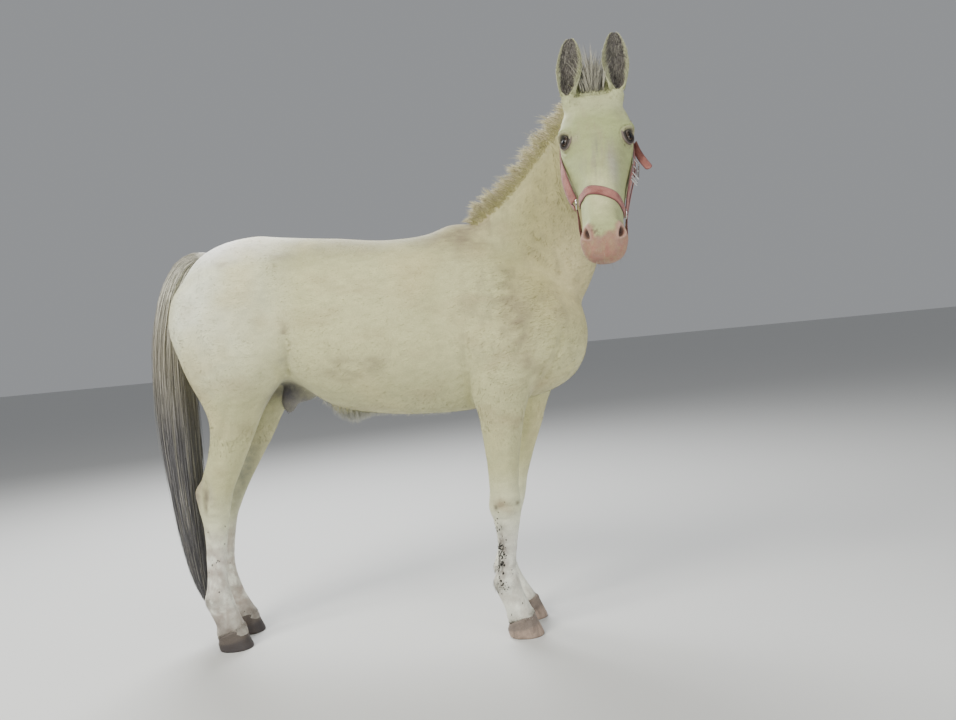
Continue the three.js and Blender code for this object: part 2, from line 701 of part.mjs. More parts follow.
// Sheath with a tuft of hair hanging from its front
function makeSheath() {
  const random = randomSeries(5);
  const parts = [ellipsoid(SHEATH.at, SHEATH.size, 12, 8)];
  for (let k = 0; k < SHEATH.locks; k++) {
    const foot = new THREE.Vector3(...SHEATH.at);
    foot.x += 18 + 9 * (k % 3);
    foot.y += 11 * (k - (SHEATH.locks - 1) / 2) * 0.6;
    foot.z -= SHEATH.size[2] - 18;
    const long = SHEATH.long * (1 + 0.15 * random());
    const path = [0, 0.4, 0.75, 1].map(t => foot.clone()
      .addScaledVector(Z, -long * t * (1 - 0.3 * t))
      .addScaledVector(X, long * t * t * (0.5 + 0.2 * random())));
    parts.push(lock(path, Y, SHEATH.wide, SHEATH.thick));
  }
  return union(parts);
}

// Webbing and metal of the halter, in the head's own frame. Each strap follows a line in the side view
// of the head, given as places down the face and out of it; the halter hangs lower on the left by its skew.
const WEBBING = { thick: 3.4, off: 0.7, slack: 6 };
const RINGS = { right: [352, -66, -82], left: [398, 65.5, -82], chin: [452, 0, -155.5] };
const STRAPS = {
  noseband: { line: [[381, 80], [381, -82]], width: 29, skew: 0.42 },
  chin: { line: [[380, -92], [440, -104], [455, -150], [457, -205]], width: 19, skew: 0.35 },
  crown: { line: [[71.6, -81.7], [-70, -6]], width: 23 },
  cheek: { line: ring => [[ring - 8, -76], [ring - 100, -70], [185, -84], [120, -104], [72, -82]], width: 28 },
  jaw: { line: ring => [[ring + 2, -94], [ring - 60, -110], [210, -118], [112, -122]], width: 17 },
};
// Cheek and jaw straps run straight past the hollow of the face: place down the face, half width there
const BRIDGE = {
  right: [[175, 103], [225, 101], [275, 93], [325, 80], [360, 66], [400, 0]],
  left: [[175, 103], [225, 99], [275, 92], [325, 82], [375, 72], [405, 66], [450, 0]],
};
const RING = { radius: 14, wire: 2.3 };
const BUCKLE = { at: [252, 105, -80], long: 56, wide: 32, bar: 4.5, thick: 3.2, tilt: 30 };
const LOOSE_END = {
  path: [[150, 106, -88], [185, 113, -86], [218, 124, -83], [256, 141, -80]], width: 21,
  rootAcross: new THREE.Vector3(-0.35, 0.5, 0.75), endAcross: new THREE.Vector3(-0.5, 0.86, 0.1),
};

// Bar that holds one strap's side view, right across the head
function strapBar(line, width, skew = 0) {
  const left = [];
  const right = [];
  line.forEach(([s, d], k) => {
    const [s0, d0] = line[Math.max(k - 1, 0)];
    const [s1, d1] = line[Math.min(k + 1, line.length - 1)];
    const across = new THREE.Vector2(d0 - d1, s1 - s0).setLength(width / 2);
    left.push(new THREE.Vector2(s + across.x, d + across.y));
    right.unshift(new THREE.Vector2(s - across.x, d - across.y));
  });
  const bar = new THREE.ExtrudeGeometry(new THREE.Shape([...left, ...right]), { depth: 400, bevelEnabled: false });
  bar.rotateX(Math.PI / 2);
  bar.translate(0, 200, 0);
  bar.applyMatrix4(new THREE.Matrix4().makeShear(0, 0, skew, 0, 0, 0));
  return placeHead(solidOf(bar));
}

// Half of space on one side of the head's middle plane
function headSide(side) {
  return halfSpace(headPoint([0, 2 * side, 0]), headDirection([0, side, 0]));
}

// Head and top of the neck, grown, with the face as wide as the given bridge on its narrow part
function headForm(grow, bridge = null) {
  const rows = HEAD.map(([s, face, jaw, half, ...shape]) =>
    [s, face, jaw, bridge ? Math.max(half, valueAt(bridge, s)) : half, ...shape]);
  return placeHead(makeSkull(grow, rows)).add(makeNeck(grow));
}

// Thin layer over the head and the top of the neck, at the height of the webbing
function layer(off, bridge = null) {
  return headForm(off + WEBBING.thick, bridge).subtract(headForm(off, bridge));
}

function makeRing(at, wire = RING.wire) {
  const geometry = new THREE.TorusGeometry(RING.radius, wire, 5, 12);
  geometry.rotateX(Math.PI / 2);
  geometry.translate(...at);
  return placeHead(solidOf(geometry));
}

// Oblong frame lying over the left cheek strap, tilted with the cheek
function makeBuckle(grow = 0) {
  const { at, long, wide, bar, thick, tilt } = BUCKLE;
  const plate = (length, width, depth) => solidOf(new THREE.BoxGeometry(length, depth, width));
  const frame = plate(long + 2 * grow, wide + 2 * grow, thick + 2 * grow)
    .subtract(plate(long - 2 * bar - 2 * grow, wide - 2 * bar - 2 * grow, 4 * thick));
  return placeHead(frame.rotate(tilt, 0, 0).translate(at));
}

// Loose end of the crown strap, springing out from the left cheek and turning to show its face
function makeLooseEnd() {
  const { path, width, rootAcross, endAcross } = LOOSE_END;
  const curve = new THREE.CatmullRomCurve3(path.map(p => new THREE.Vector3(...p)));
  const rings = [];
  for (let k = 0; k <= 6; k++) {
    const at = curve.getPoint(k / 6);
    const along = curve.getTangent(k / 6);
    const across = rootAcross.clone().lerp(endAcross, k / 6);
    across.addScaledVector(along, -across.dot(along)).normalize();
    const out = new THREE.Vector3().crossVectors(along, across).normalize();
    rings.push([[-1, -1], [1, -1], [1, 1], [-1, 1]].map(([w, t]) =>
      at.clone().addScaledVector(across, (w * width) / 2).addScaledVector(out, (t * WEBBING.thick) / 2)));
  }
  return placeHead(skin(rings));
}

// Plane that parts the neck from the trunk, from the withers to the breast
const NECK_BASE = {
  point: new THREE.Vector3(430, 0, 1400),
  normal: new THREE.Vector3(315, 0, 370).normalize(),
};

// Space of one leg: everything under a plane that slopes up and out from the midline
const LEG_CUTS = {
  front: { from: 388, to: 800, inner: 712, outer: 844, reach: 200 },
  hind: { from: -720, to: -200, inner: 840, outer: 946, reach: 220 },
};

function legSpace(name, gap) {
  const cut = LEG_CUTS[name.split('_')[0]];
  const slope = (cut.outer - cut.inner) / cut.reach;
  const near = 0.2 - gap;
  const far = 400;
  const outline = new THREE.Shape([
    new THREE.Vector2(near, -10),
    new THREE.Vector2(far, -10),
    new THREE.Vector2(far, cut.inner + slope * far + gap),
    new THREE.Vector2(near, cut.inner + slope * near + gap),
  ]);
  const from = cut.from - gap;
  const block = new THREE.ExtrudeGeometry(outline, { depth: cut.to - from, bevelEnabled: false });
  const basis = new THREE.Matrix4().makeBasis(Y.clone().multiplyScalar(LEGS[name].side), Z, X);
  block.applyMatrix4(basis.setPosition(from, 0, 0));
  return solidOf(block);
}

// Space on the far side of a plane, shifted along its normal
function beyond({ point, normal }, shift = 0) {
  return halfSpace(point.clone().addScaledVector(normal, shift), normal);
}

const nodes = new Map();
function addNode(name, solid, look) {
  nodes.set(name, { solid: largestPiece(solid), look });
}

// Trunk and legs in one piece, parted by thin cuts
const legs = Object.values(LEGS).map(leg => {
  const { point, normal } = coronetPlane(leg);
  return makeLeg(leg).intersect(beyond({ point, normal }, GAP));
});
const body = union([makeTrunk(), makeNeck(), makeSheath(), ...legs]);
let torso = body.subtract(beyond(NECK_BASE));
for (const name of Object.keys(LEGS)) {
  addNode(`leg_${name}`, torso.intersect(legSpace(name, 0)), 'coat');
}
for (const name of Object.keys(LEGS)) torso = torso.subtract(legSpace(name, GAP));
addNode('torso', torso, 'coat');

for (const [name, leg] of Object.entries(LEGS)) {
  addNode(`hoof_${name}`, makeHoof(leg).subtract(beyond(coronetPlane(leg))), 'hoof');
}

// Head with the roots of the ears; each ear stands on a plane through its root
let head = placeHead(makeHeadLocal());
const headGrown = placeHead(makeSkull(GAP));
for (const name of Object.keys(EAR)) {
  const root = headPoint(EAR[name].base);
  const along = new THREE.Vector3(...EAR[name].tip).sub(root).normalize();
  const plane = { point: root.clone().addScaledVector(along, 10), normal: along };
  const ear = makeEar(name);
  head = head.add(ear.subtract(beyond(plane)));
  addNode(`ear_${name}`, ear.intersect(beyond(plane, GAP)).subtract(headGrown).subtract(makeNeck(GAP)), 'coat');
}
addNode('head', head.add(makeForelock()), 'coat');
for (const [name, side] of Object.entries(SIDES)) {
  addNode(`eye_${name}`, placeHead(ball(eyeCentre(side), EYE.radius - 0.2, 12, 7)), 'eye');
}

// Neck with its mane, cut clear of the head
const neck = union([makeNeck(), makeTrunk(), makeMane()]).intersect(beyond(NECK_BASE, GAP));
const earsGrown = makeEar('right', GAP).add(makeEar('left', GAP));
addNode('neck', neck.subtract(headGrown).subtract(nodes.get('head').solid).subtract(earsGrown), 'coat');

// Tail, cut clear of the rump
const rump = union([makeTrunk(GAP), makeLeg(LEGS.hind_left, GAP), makeLeg(LEGS.hind_right, GAP)]);
addNode('tail', makeTail().subtract(rump), 'hair');

// Halter
const ringSpace = union(Object.values(RINGS).map(at => makeRing(at, RING.wire + GAP)));
const clearOfRings = solid => solid.subtract(ringSpace).subtract(earsGrown);
const barOf = ({ line, width, skew }) => strapBar(line, width, skew);
addNode('halter_noseband', clearOfRings(layer(WEBBING.off).intersect(barOf(STRAPS.noseband))), 'webbing');
addNode('halter_crown_strap', clearOfRings(layer(WEBBING.off).intersect(barOf(STRAPS.crown))), 'webbing');
let chin = layer(WEBBING.slack).intersect(barOf(STRAPS.chin));
const crownSpace = strapBar(STRAPS.crown.line, STRAPS.crown.width + 2 * GAP);
for (const [name, side] of Object.entries(SIDES)) {
  const bridged = layer(WEBBING.off, BRIDGE[name]).intersect(headSide(side));
  const cheekLine = STRAPS.cheek.line(RINGS[name][0]);
  const jawLine = STRAPS.jaw.line(RINGS[name][0]);
  const cheek = bridged.intersect(strapBar(cheekLine, STRAPS.cheek.width)).subtract(crownSpace);
  const jaw = bridged.intersect(strapBar(jawLine, STRAPS.jaw.width))
    .subtract(strapBar(cheekLine, STRAPS.cheek.width + 2 * GAP));
  chin = chin.subtract(strapBar(jawLine, STRAPS.jaw.width + 2 * GAP).intersect(headSide(side)));
  addNode(`halter_cheek_strap_${name}`, clearOfRings(cheek), 'webbing');
  addNode(`halter_jaw_strap_${name}`, clearOfRings(jaw), 'webbing');
}
addNode('halter_chin_strap', clearOfRings(chin), 'webbing');
for (const [name, at] of Object.entries(RINGS)) addNode(`halter_ring_${name}`, makeRing(at), 'metal');
const overStraps = headForm(WEBBING.off + WEBBING.thick + GAP, BRIDGE.left);
const buckle = makeBuckle().subtract(overStraps);
const buckleSpace = makeBuckle(GAP);
addNode('halter_buckle', buckle, 'metal');
addNode('halter_loose_end', makeLooseEnd().subtract(overStraps).subtract(buckleSpace), 'webbing');

// Scene
function toMesh(name, { solid, look }) {
  const mesh = solid.getMesh();
  const geometry = new THREE.BufferGeometry();
  geometry.setAttribute('position', new THREE.BufferAttribute(mesh.vertProperties, 3));
  geometry.setIndex(new THREE.BufferAttribute(mesh.triVerts, 1));
  geometry.computeVertexNormals();
  const node = new THREE.Mesh(geometry, new THREE.MeshStandardMaterial(LOOKS[look]));
  node.name = name;
  return node;
}

const mule = new THREE.Group();
for (const [name, node] of nodes) mule.add(toMesh(name, node));

const box = new THREE.Box3().setFromObject(mule);
mule.position.set(-(box.min.x + box.max.x) / 2, -(box.min.y + box.max.y) / 2, -box.min.z);
mule.updateMatrixWorld(true);

export default mule;
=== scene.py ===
"""A standing mule with its head turned to its right, in a webbing halter.

Shapes are worked out in millimetres in the body's own frame (+X chest, +Y the mule's left,
+Z up, floor at 0) from the same named tables as the solids, then put in place in metres.
"""

import math

import bmesh
import bpy
import numpy as np
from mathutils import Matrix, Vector
from mathutils.bvhtree import BVHTree


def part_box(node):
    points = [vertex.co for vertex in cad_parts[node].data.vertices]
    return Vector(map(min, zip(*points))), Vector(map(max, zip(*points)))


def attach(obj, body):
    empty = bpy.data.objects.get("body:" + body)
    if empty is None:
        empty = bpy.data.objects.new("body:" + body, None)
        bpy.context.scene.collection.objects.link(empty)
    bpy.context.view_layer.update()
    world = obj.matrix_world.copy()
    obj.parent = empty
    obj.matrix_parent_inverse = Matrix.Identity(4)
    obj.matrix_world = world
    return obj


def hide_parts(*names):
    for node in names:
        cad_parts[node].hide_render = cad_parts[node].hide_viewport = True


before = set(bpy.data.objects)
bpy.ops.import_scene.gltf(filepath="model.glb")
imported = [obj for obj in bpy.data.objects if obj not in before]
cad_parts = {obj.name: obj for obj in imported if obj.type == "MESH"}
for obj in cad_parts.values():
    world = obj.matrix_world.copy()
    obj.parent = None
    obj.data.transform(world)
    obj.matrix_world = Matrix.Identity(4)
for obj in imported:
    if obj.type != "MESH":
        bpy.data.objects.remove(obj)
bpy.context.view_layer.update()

# Place of the body's frame in the row frame, from the toe of the right fore hoof
HOOF_LOW, HOOF_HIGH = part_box("hoof_front_right")
SHIFT = np.array([HOOF_HIGH.x - 0.573, (HOOF_LOW.y + HOOF_HIGH.y) / 2 + 0.080, 0.0])

COAT_DEPTH = 3.5            # skin inside the solids, mm
VOXEL = 0.0056              # grain of the skin mesh, m
COAT_TUFTS = 44000          # in each piece of the short coat
MUD_FLECKS = 540

# Trunk sections: x, top, bottom, half width, level of the widest, shape above and below
TRUNK = np.array([
    [-585, 1225, 1030, 95, 0.50, 2.0, 2.0],
    [-560, 1305, 960, 150, 0.50, 2.0, 2.0],
    [-500, 1372, 910, 192, 0.52, 2.0, 2.0],
    [-410, 1408, 886, 222, 0.55, 2.0, 2.1],
    [-300, 1419, 888, 236, 0.58, 2.0, 2.1],
    [-230, 1409, 896, 236, 0.57, 2.0, 2.2],
    [-165, 1400, 866, 235, 0.54, 2.0, 2.2],
    [-95, 1391, 812, 234, 0.49, 2.0, 2.2],
    [0, 1379, 776, 235, 0.46, 2.0, 2.2],
    [150, 1357, 752, 230, 0.44, 2.0, 2.1],
    [290, 1360, 744, 215, 0.43, 1.8, 2.0],
    [385, 1386, 746, 198, 0.42, 1.5, 2.0],
    [480, 1368, 752, 190, 0.42, 1.5, 2.0],
    [580, 1300, 766, 190, 0.44, 1.7, 2.1],
    [680, 1215, 795, 176, 0.46, 1.9, 2.2],
    [750, 1140, 838, 145, 0.48, 2.0, 2.2],
    [790, 1085, 900, 96, 0.50, 2.0, 2.0],
])
# Neck: crest point, throat point, half width
NECK = np.array([
    [400, 0, 1330, 640, 0, 900, 112],
    [470, -5, 1398, 735, 0, 1000, 128],
    [560, -28, 1446, 800, -6, 1085, 114],
    [640, -88, 1506, 846, -48, 1172, 97],
    [712, -165, 1565, 872, -112, 1270, 86],
    [785, -250, 1616, 880, -170, 1368, 79],
    [845, -322, 1650, 874, -218, 1455, 74],
    [868, -368, 1650, 868, -270, 1510, 62],
])
# Head frame: origin at the poll, axes down the face, to the mule's left, out of the face
POLL = np.array([872.0, -352.0, 1666.0])
FACE_LEAN, HEAD_TURN, HEAD_TILT = 30, 92, -1.3
# Head sections: place, face line, jaw line, half width, level of the widest, shape above and below
HEAD = np.array([
    [-48, -78, -128, 34, 0.50, 2.0, 2.0],
    [-22, -30, -152, 62, 0.52, 2.1, 2.0],
    [20, -4, -168, 80, 0.55, 2.3, 1.9],
    [70, 6, -192, 91, 0.60, 2.5, 1.8],
    [120, 9, -224, 102, 0.64, 2.6, 1.7],
    [175, 9, -252, 103, 0.66, 2.6, 1.6],
    [225, 6, -262, 92, 0.58, 2.4, 1.7],
    [275, 3, -238, 79, 0.56, 2.2, 1.8],
    [325, 0, -194, 64, 0.56, 2.2, 1.9],
    [375, -1, -158, 57, 0.55, 2.2, 2.0],
    [420, -1, -137, 55, 0.52, 2.2, 2.1],
    [462, -2, -126, 56.5, 0.50, 2.3, 2.2],
    [500, -5, -118, 60, 0.50, 2.3, 2.2],
    [528, -13, -107, 57, 0.50, 2.3, 2.2],
    [547, -27, -95, 47, 0.50, 2.2, 2.2],
    [559, -46, -78, 29, 0.50, 2.0, 2.0],
])
EYE_RADIUS = 21.0
EYES = {1: np.array([179.0, 77.5, -34.0]), -1: np.array([174.5, -75.5, -34.0])}
EYE_OUT = np.array([0.07, 0.70, 0.71]) / np.linalg.norm([0.07, 0.70, 0.71])
EYE_LINE = np.array([1, 0, -0.25])
OPENING = (14.8, 14.0)        # half length and half height of the opening of the lids
NOSTRIL_AT = np.array([498.0, 41.0, -26.0])
MOUTH = {"corner": 482.0, "height": -82.0}
# How deep or high the details of the head are carved, mm
CARVING = {"bow": 4.5, "socket": 14, "lid": 2.6, "fold": 2.2, "nostril": 14, "nostril_rim": 3.0, "mouth": 5}

# Legs: height, front edge, rear edge, distance from the midline, half width
FORELEG = np.array([
    [1010, 655, 450, 118, 48], [930, 652, 408, 120, 64], [860, 632, 400, 121, 69],
    [800, 608, 406, 118, 65], [750, 588, 417, 113, 59], [690, 570, 425, 107, 53],
    [620, 555, 430, 101, 47], [545, 543, 432, 97, 42], [480, 537, 431, 94, 43],
    [425, 539, 427, 92, 46], [385, 532, 434, 90, 40], [335, 521, 441, 88, 31],
    [260, 507, 438, 86, 28], [215, 505, 426, 85, 33], [178, 512, 416, 84, 37],
    [140, 521, 425, 83, 32], [105, 535, 438, 82, 33], [70, 549, 452, 81, 39],
    [40, 556, 462, 80, 41],
])
HINDLEG = np.array([
    [1300, -370, -500, 92, 52], [1265, -300, -556, 104, 82], [1195, -225, -592, 117, 104],
    [1100, -182, -600, 124, 112], [1000, -180, -568, 126, 110], [930, -205, -545, 123, 103],
    [860, -268, -521, 113, 86], [800, -312, -506, 104, 71], [740, -343, -512, 97, 58],
    [670, -383, -530, 91, 48], [600, -420, -562, 87, 42], [550, -446, -588, 85, 40],
    [500, -463, -587, 83, 42], [440, -477, -577, 82, 36], [370, -490, -575, 81, 29],
    [260, -503, -582, 80, 28], [210, -500, -590, 79, 34], [172, -491, -599, 79, 37],
    [135, -480, -592, 78, 32], [102, -468, -578, 78, 33], [70, -455, -564, 77, 38],
    [40, -448, -556, 77, 40],
])
# How far the left legs stand ahead of the right ones: height, shift
FAR_FORE_SHIFT = [[1010, 60], [860, 70], [680, 58], [545, 30], [425, 2], [300, -16], [178, -18], [40, 6]]
FAR_HIND_SHIFT = [[1300, 0], [700, 0], [550, -14], [430, -42], [300, -48], [170, -42], [70, -26], [40, -22]]
LEGS = {
    "front_right": (FORELEG, -1, None),
    "front_left": (FORELEG, 1, FAR_FORE_SHIFT),
    "hind_right": (HINDLEG, -1, None),
    "hind_left": (HINDLEG, 1, FAR_HIND_SHIFT),
}
# Tail hank: x, z, half depth, half width
TAIL = np.array([
    [-470, 1350, 22, 24], [-520, 1366, 26, 28], [-575, 1345, 34, 38], [-622, 1270, 44, 52],
    [-648, 1170, 54, 64], [-662, 1050, 60, 74], [-668, 900, 62, 78], [-668, 720, 58, 74],
    [-662, 540, 50, 64], [-654, 370, 40, 50], [-644, 240, 27, 34], [-634, 170, 14, 18],
    [-628, 140, 5, 6],
])
# Sheath: middle and half size of each lobe
SHEATH = [((-18, 0, 800), (84, 32, 36)), ((-200, -6, 868), (70, 40, 44)), ((-248, -8, 836), (30, 28, 50))]
EARS = {
    "right": {"base": [20, -72, -10], "tip": [821, -335, 1816]},
    "left": {"base": [20, 70, -10], "tip": [948, -335, 1816]},
}
# Ear: share of the length, half width, half depth, how far round the cup is open (0 to 1)
EAR_ROWS = np.array([
    [-0.22, 27, 25, 0.0], [-0.1, 24, 23, 0.0], [0, 21, 20, 0.22], [0.12, 25, 22, 0.38],
    [0.27, 31, 22, 0.46], [0.45, 36, 20, 0.50], [0.62, 35, 17, 0.53], [0.78, 29, 13, 0.55],
    [0.9, 21, 9, 0.56], [0.97, 13, 6, 0.56], [1.0, 5, 3, 0.56],
])

SIDE = np.array([0.0, 1.0, 0.0])
UP = np.array([0.0, 0.0, 1.0])


# Numbers and small helpers

def unit(v):
    v = np.asarray(v, float)
    return v / np.maximum(np.linalg.norm(v, axis=-1, keepdims=True), 1e-9)


def smooth_rows(rows, t):
    """Catmull-Rom values of a table at row numbers t, as an array of len(t) rows."""
    t = np.clip(np.asarray(t, float), 0, len(rows) - 1)
    i = np.minimum(t.astype(int), len(rows) - 2)
    f = (t - i)[:, None]
    p = [rows[np.clip(i + k, 0, len(rows) - 1)] for k in (-1, 0, 1, 2)]
    s1, s2 = (p[2] - p[0]) / 2, (p[3] - p[1]) / 2
    a = 2 * (p[1] - p[2]) + s1 + s2
    b = 3 * (p[2] - p[1]) - 2 * s1 - s2
    return ((a * f + b) * f + s1) * f + p[1]


def shift_at(table, z):
    if table is None:
        return np.zeros_like(np.asarray(z, float))
    points = np.array(table, float)[::-1]
    return np.interp(z, points[:, 0], points[:, 1])


def ring(centre, up, side, rise, drop, half, above, below, count):
    _, c, s = circle(count)
    power = 2 / np.where(s >= 0, above, below)
    sideways = half * np.sign(c) * np.abs(c) ** power
    upwards = np.where(s >= 0, rise, drop) * np.sign(s) * np.abs(s) ** power
    return centre + sideways[:, None] * side + upwards[:, None] * up


def circle(count):
    angle = np.linspace(0, 2 * np.pi, count, endpoint=False)
    return angle, np.cos(angle), np.sin(angle)


def tube(rings):
    """Vertices and faces of a closed tube through rings of equal count."""
    count = len(rings[0])
    last = (len(rings) - 1) * count
    verts = np.concatenate(rings)
    faces = []
    for r in range(len(rings) - 1):
        for k in range(count):
            a, b = r * count + k, r * count + (k + 1) % count
            faces.append((a, b, b + count, a + count))
    faces.append(tuple(reversed(range(count))))
    faces.append(tuple(range(last, last + count)))
    centre = verts.mean(axis=0)
    volume = 0.0
    for f in faces:
        p = verts[np.array(f)] - centre
        for k in range(1, len(p) - 1):
            volume += np.dot(p[0], np.cross(p[k], p[k + 1]))
    if volume < 0:
        faces = [tuple(reversed(f)) for f in faces]
    return verts, faces


def closed_net(n, m):
    """Faces of a net of n by m points that closes both ways."""
    return [(i * m + j, (i + 1) % n * m + j, (i + 1) % n * m + (j + 1) % m, i * m + (j + 1) % m)
            for i in range(n) for j in range(m)]


def join(parts):
    verts, faces, base = [], [], 0
    for v, f in parts:
        verts.append(v)
        faces.extend(tuple(i + base for i in face) for face in f)
        base += len(v)
    return np.concatenate(verts), faces


def to_row(points):
    return np.asarray(points) * 0.001 + SHIFT


def link_new(name, data):
    obj = bpy.data.objects.new(name, data)
    bpy.context.scene.collection.objects.link(obj)
    return obj


def new_object(name, verts, faces):
    """Mesh object from points in the body's frame, in millimetres."""
    mesh = bpy.data.meshes.new(name)
    mesh.from_pydata(to_row(verts).tolist(), [], [tuple(int(i) for i in f) for f in faces])
    mesh.update()
    mesh.shade_smooth()
    return link_new(name, mesh)


def place_piece(piece, look, slot, *replaced):
    """Gives a piece its look and its body, and hides the nodes that it stands for; its slot is not used."""
    piece.data.materials.append(look)
    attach(piece, "root")
    if replaced:
        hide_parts(*replaced)


def read(items, name, width, kind=float):
    """One property of all items of a mesh as an array, with width numbers to a row."""
    values = np.empty(len(items) * width, kind)
    items.foreach_get(name, values)
    return values.reshape(-1, width)


def mesh_arrays(mesh):
    """Points of a mesh in the body's frame, in millimetres."""
    return (read(mesh.vertices, "co", 3) - SHIFT) * 1000


def set_points(mesh, points):
    mesh.vertices.foreach_set("co", to_row(points).ravel())
    mesh.update()


def vertex_normals(mesh):
    return read(mesh.vertex_normals, "vector", 3)


def lattice_noise(points, size, seed=0):
    """Smooth noise between 0 and 1 at points, with grains of the given size."""
    p = np.asarray(points, float) / size + 100.0 + 17.3 * seed
    i = np.floor(p).astype(np.int64)
    f = p - i
    f = f * f * (3 - 2 * f)
    total = np.zeros(len(p))
    for corner in range(8):
        step = np.array([corner & 1, corner >> 1 & 1, corner >> 2 & 1])
        c = i + step
        h = (c[:, 0] * 73856093 ^ c[:, 1] * 19349663 ^ c[:, 2] * 83492791 ^ seed * 2654435) & 0xFFFFFF
        h = (h * 1103515 + 12345 & 0xFFFFFF) / 0xFFFFFF
        weight = np.prod(np.where(step == 1, f, 1 - f), axis=1)
        total += weight * h
    return total


def cloud(points, size, seed=0):
    """Noise of three grain sizes together, between 0 and 1."""
    grains = enumerate(((0.57, 1), (0.28, 2.1), (0.15, 4.3)))
    return sum(share * lattice_noise(points, size / finer, seed + k) for k, (share, finer) in grains)


def rise(value, start, reach):
    """0 up to a start, then up to 1 over a reach."""
    return np.clip((value - start) / reach, 0, 1)


def fall(value, start, reach):
    """0 above a start, then up to 1 over a reach below it."""
    return np.clip((start - value) / reach, 0, 1)


def patches(points, size, seed, level, gain):
    """Soft-edged patches where the noise passes a level, 0 to 1."""
    return np.clip((cloud(points, size, seed) - level) * gain, 0, 1)


def both_sides(points):
    """Points with those of the right side carried over to the left."""
    return points * [1, 0, 1] + np.abs(points) * [0, 1, 0]


def near(points, centre, reach):
    """Bell-shaped weight round a centre, with its own reach along each axis."""
    return np.exp(-(((points - np.array(centre)) / np.array(reach)) ** 2).sum(axis=1))


# The head's frame

def head_axes():
    turn, lean, tilt = map(math.radians, (HEAD_TURN, FACE_LEAN, HEAD_TILT))
    ahead = np.array([math.cos(turn), -math.sin(turn), 0.0])
    nose = ahead * math.sin(lean) - UP * math.cos(lean)
    face = ahead * math.cos(lean) + UP * math.sin(lean)

    def about(v):
        return (v * math.cos(tilt) + np.cross(ahead, v) * math.sin(tilt)
                + ahead * np.dot(ahead, v) * (1 - math.cos(tilt)))
    nose, face = about(nose), about(face)
    return np.array([nose, np.cross(face, nose), face])


AXES = head_axes()


def from_head(points):
    return np.asarray(points, float) @ AXES + POLL


def to_head(points):
    return (np.asarray(points, float) - POLL) @ AXES.T


def head_way(v):
    return np.asarray(v, float) @ AXES


def on_head(points, start=-10):
    local = to_head(points)
    return (local[:, 0] > start) & (local[:, 2] > -285) & (np.abs(local[:, 1]) < 150) & (points[:, 0] > 740)


def before_neck(points, start, jaw):
    """Which points lie on the turned head, from a place on the face down and a level of the jaw up."""
    local = to_head(points)
    return (local[:, 0] > start) & (local[:, 2] > jaw) & (points[:, 0] > 740) & (points[:, 1] < -250)


def eye_frame(side):
    """Ways out of one eye, along its opening and across it, in the head's frame."""
    out = EYE_OUT * [1, side, 1]
    along = unit(EYE_LINE - out * np.dot(EYE_LINE, out))
    return out, along, np.cross(along, out)


# Flesh: lofts from the tables, sunk by the depth of the coat

def trunk(grow, count=72):
    rings = []
    for x, top, bottom, half, widest, above, below in smooth_rows(TRUNK, np.arange(0, 16.01, 0.2)):
        level = bottom + widest * (top - bottom)
        rings.append(ring(np.array([x, 0, level]), UP, SIDE, top - level + grow,
                          level - bottom + grow, half + grow, above, below, count))
    return tube(rings)


def neck(grow, count=64):
    rings = []
    for row in smooth_rows(NECK, np.arange(0, 7.01, 0.15)):
        crest, throat = row[:3], row[3:6]
        up = unit(crest - throat)
        side = unit(np.cross([0.45, -0.6, 0.55], up))
        reach = np.linalg.norm(crest - throat) / 2 + grow
        rings.append(ring((crest + throat) / 2, up, side, reach, reach, row[6] + grow, 1.6, 2.0, count))
    return tube(rings)


def skull(grow, count=72):
    rings = []
    for s, face, jaw, half, widest, above, below in smooth_rows(HEAD, np.arange(0, 15.01, 0.2)):
        level = jaw + widest * (face - jaw)
        local = ring(np.array([s, 0, level]), UP, SIDE, face - level + grow,
                     level - jaw + grow, half + grow, above, below, count)
        rings.append(from_head(local))
    return tube(rings)


def leg(table, side, shifts, grow, count=40):
    rings = []
    for z, front, rear, out, half in smooth_rows(table, np.arange(0, len(table) - 0.99, 0.25)):
        shift = float(shift_at(shifts, z))
        middle = front - 0.45 * (front - rear) + shift
        rings.append(ring(np.array([middle, out * side, z]), np.array([1, 0, 0]), SIDE,
                          front + shift - middle + grow, middle - rear - shift + grow, half + grow,
                          2.2, 1.7, count))
    return tube(rings)


def blob(centre, size, count=24):
    rings = []
    for a in np.linspace(-0.96, 0.96, 15) * np.pi / 2:
        c = np.array(centre, float) + np.array([math.sin(a) * size[0], 0, 0])
        rings.append(ring(c, UP, SIDE, size[2] * math.cos(a), size[2] * math.cos(a),
                          size[1] * math.cos(a), 2, 2, count))
    return tube(rings)


def ear_frame(name):
    base, tip = EARS[name]["base"], np.array(EARS[name]["tip"], float)
    root = from_head(base)
    along = tip - root
    front = head_way([0, -0.25 if name == "right" else 0.25, 1])
    front = unit(front - along * np.dot(front, along) / np.dot(along, along))
    side = unit(np.cross(front, along))
    return root, along, front, side


def ear_root(name, grow):
    """The ear's root, sunk in the head and bending in under it."""
    root, along, front, side = ear_frame(name)
    inwards = head_way([0.2, 1 if name == "right" else -1, -0.3])
    rings = []
    for t, half, bend in ((-0.35, 30, 34), (-0.22, 30, 19), (-0.1, 27, 7), (-0.01, 23, 0), (0.03, 16, 0)):
        rings.append(ring(root + along * t + inwards * bend, front, side, half - 2 + grow,
                          half - 2 + grow, half + grow, 2, 2, 24))
    return tube(rings)


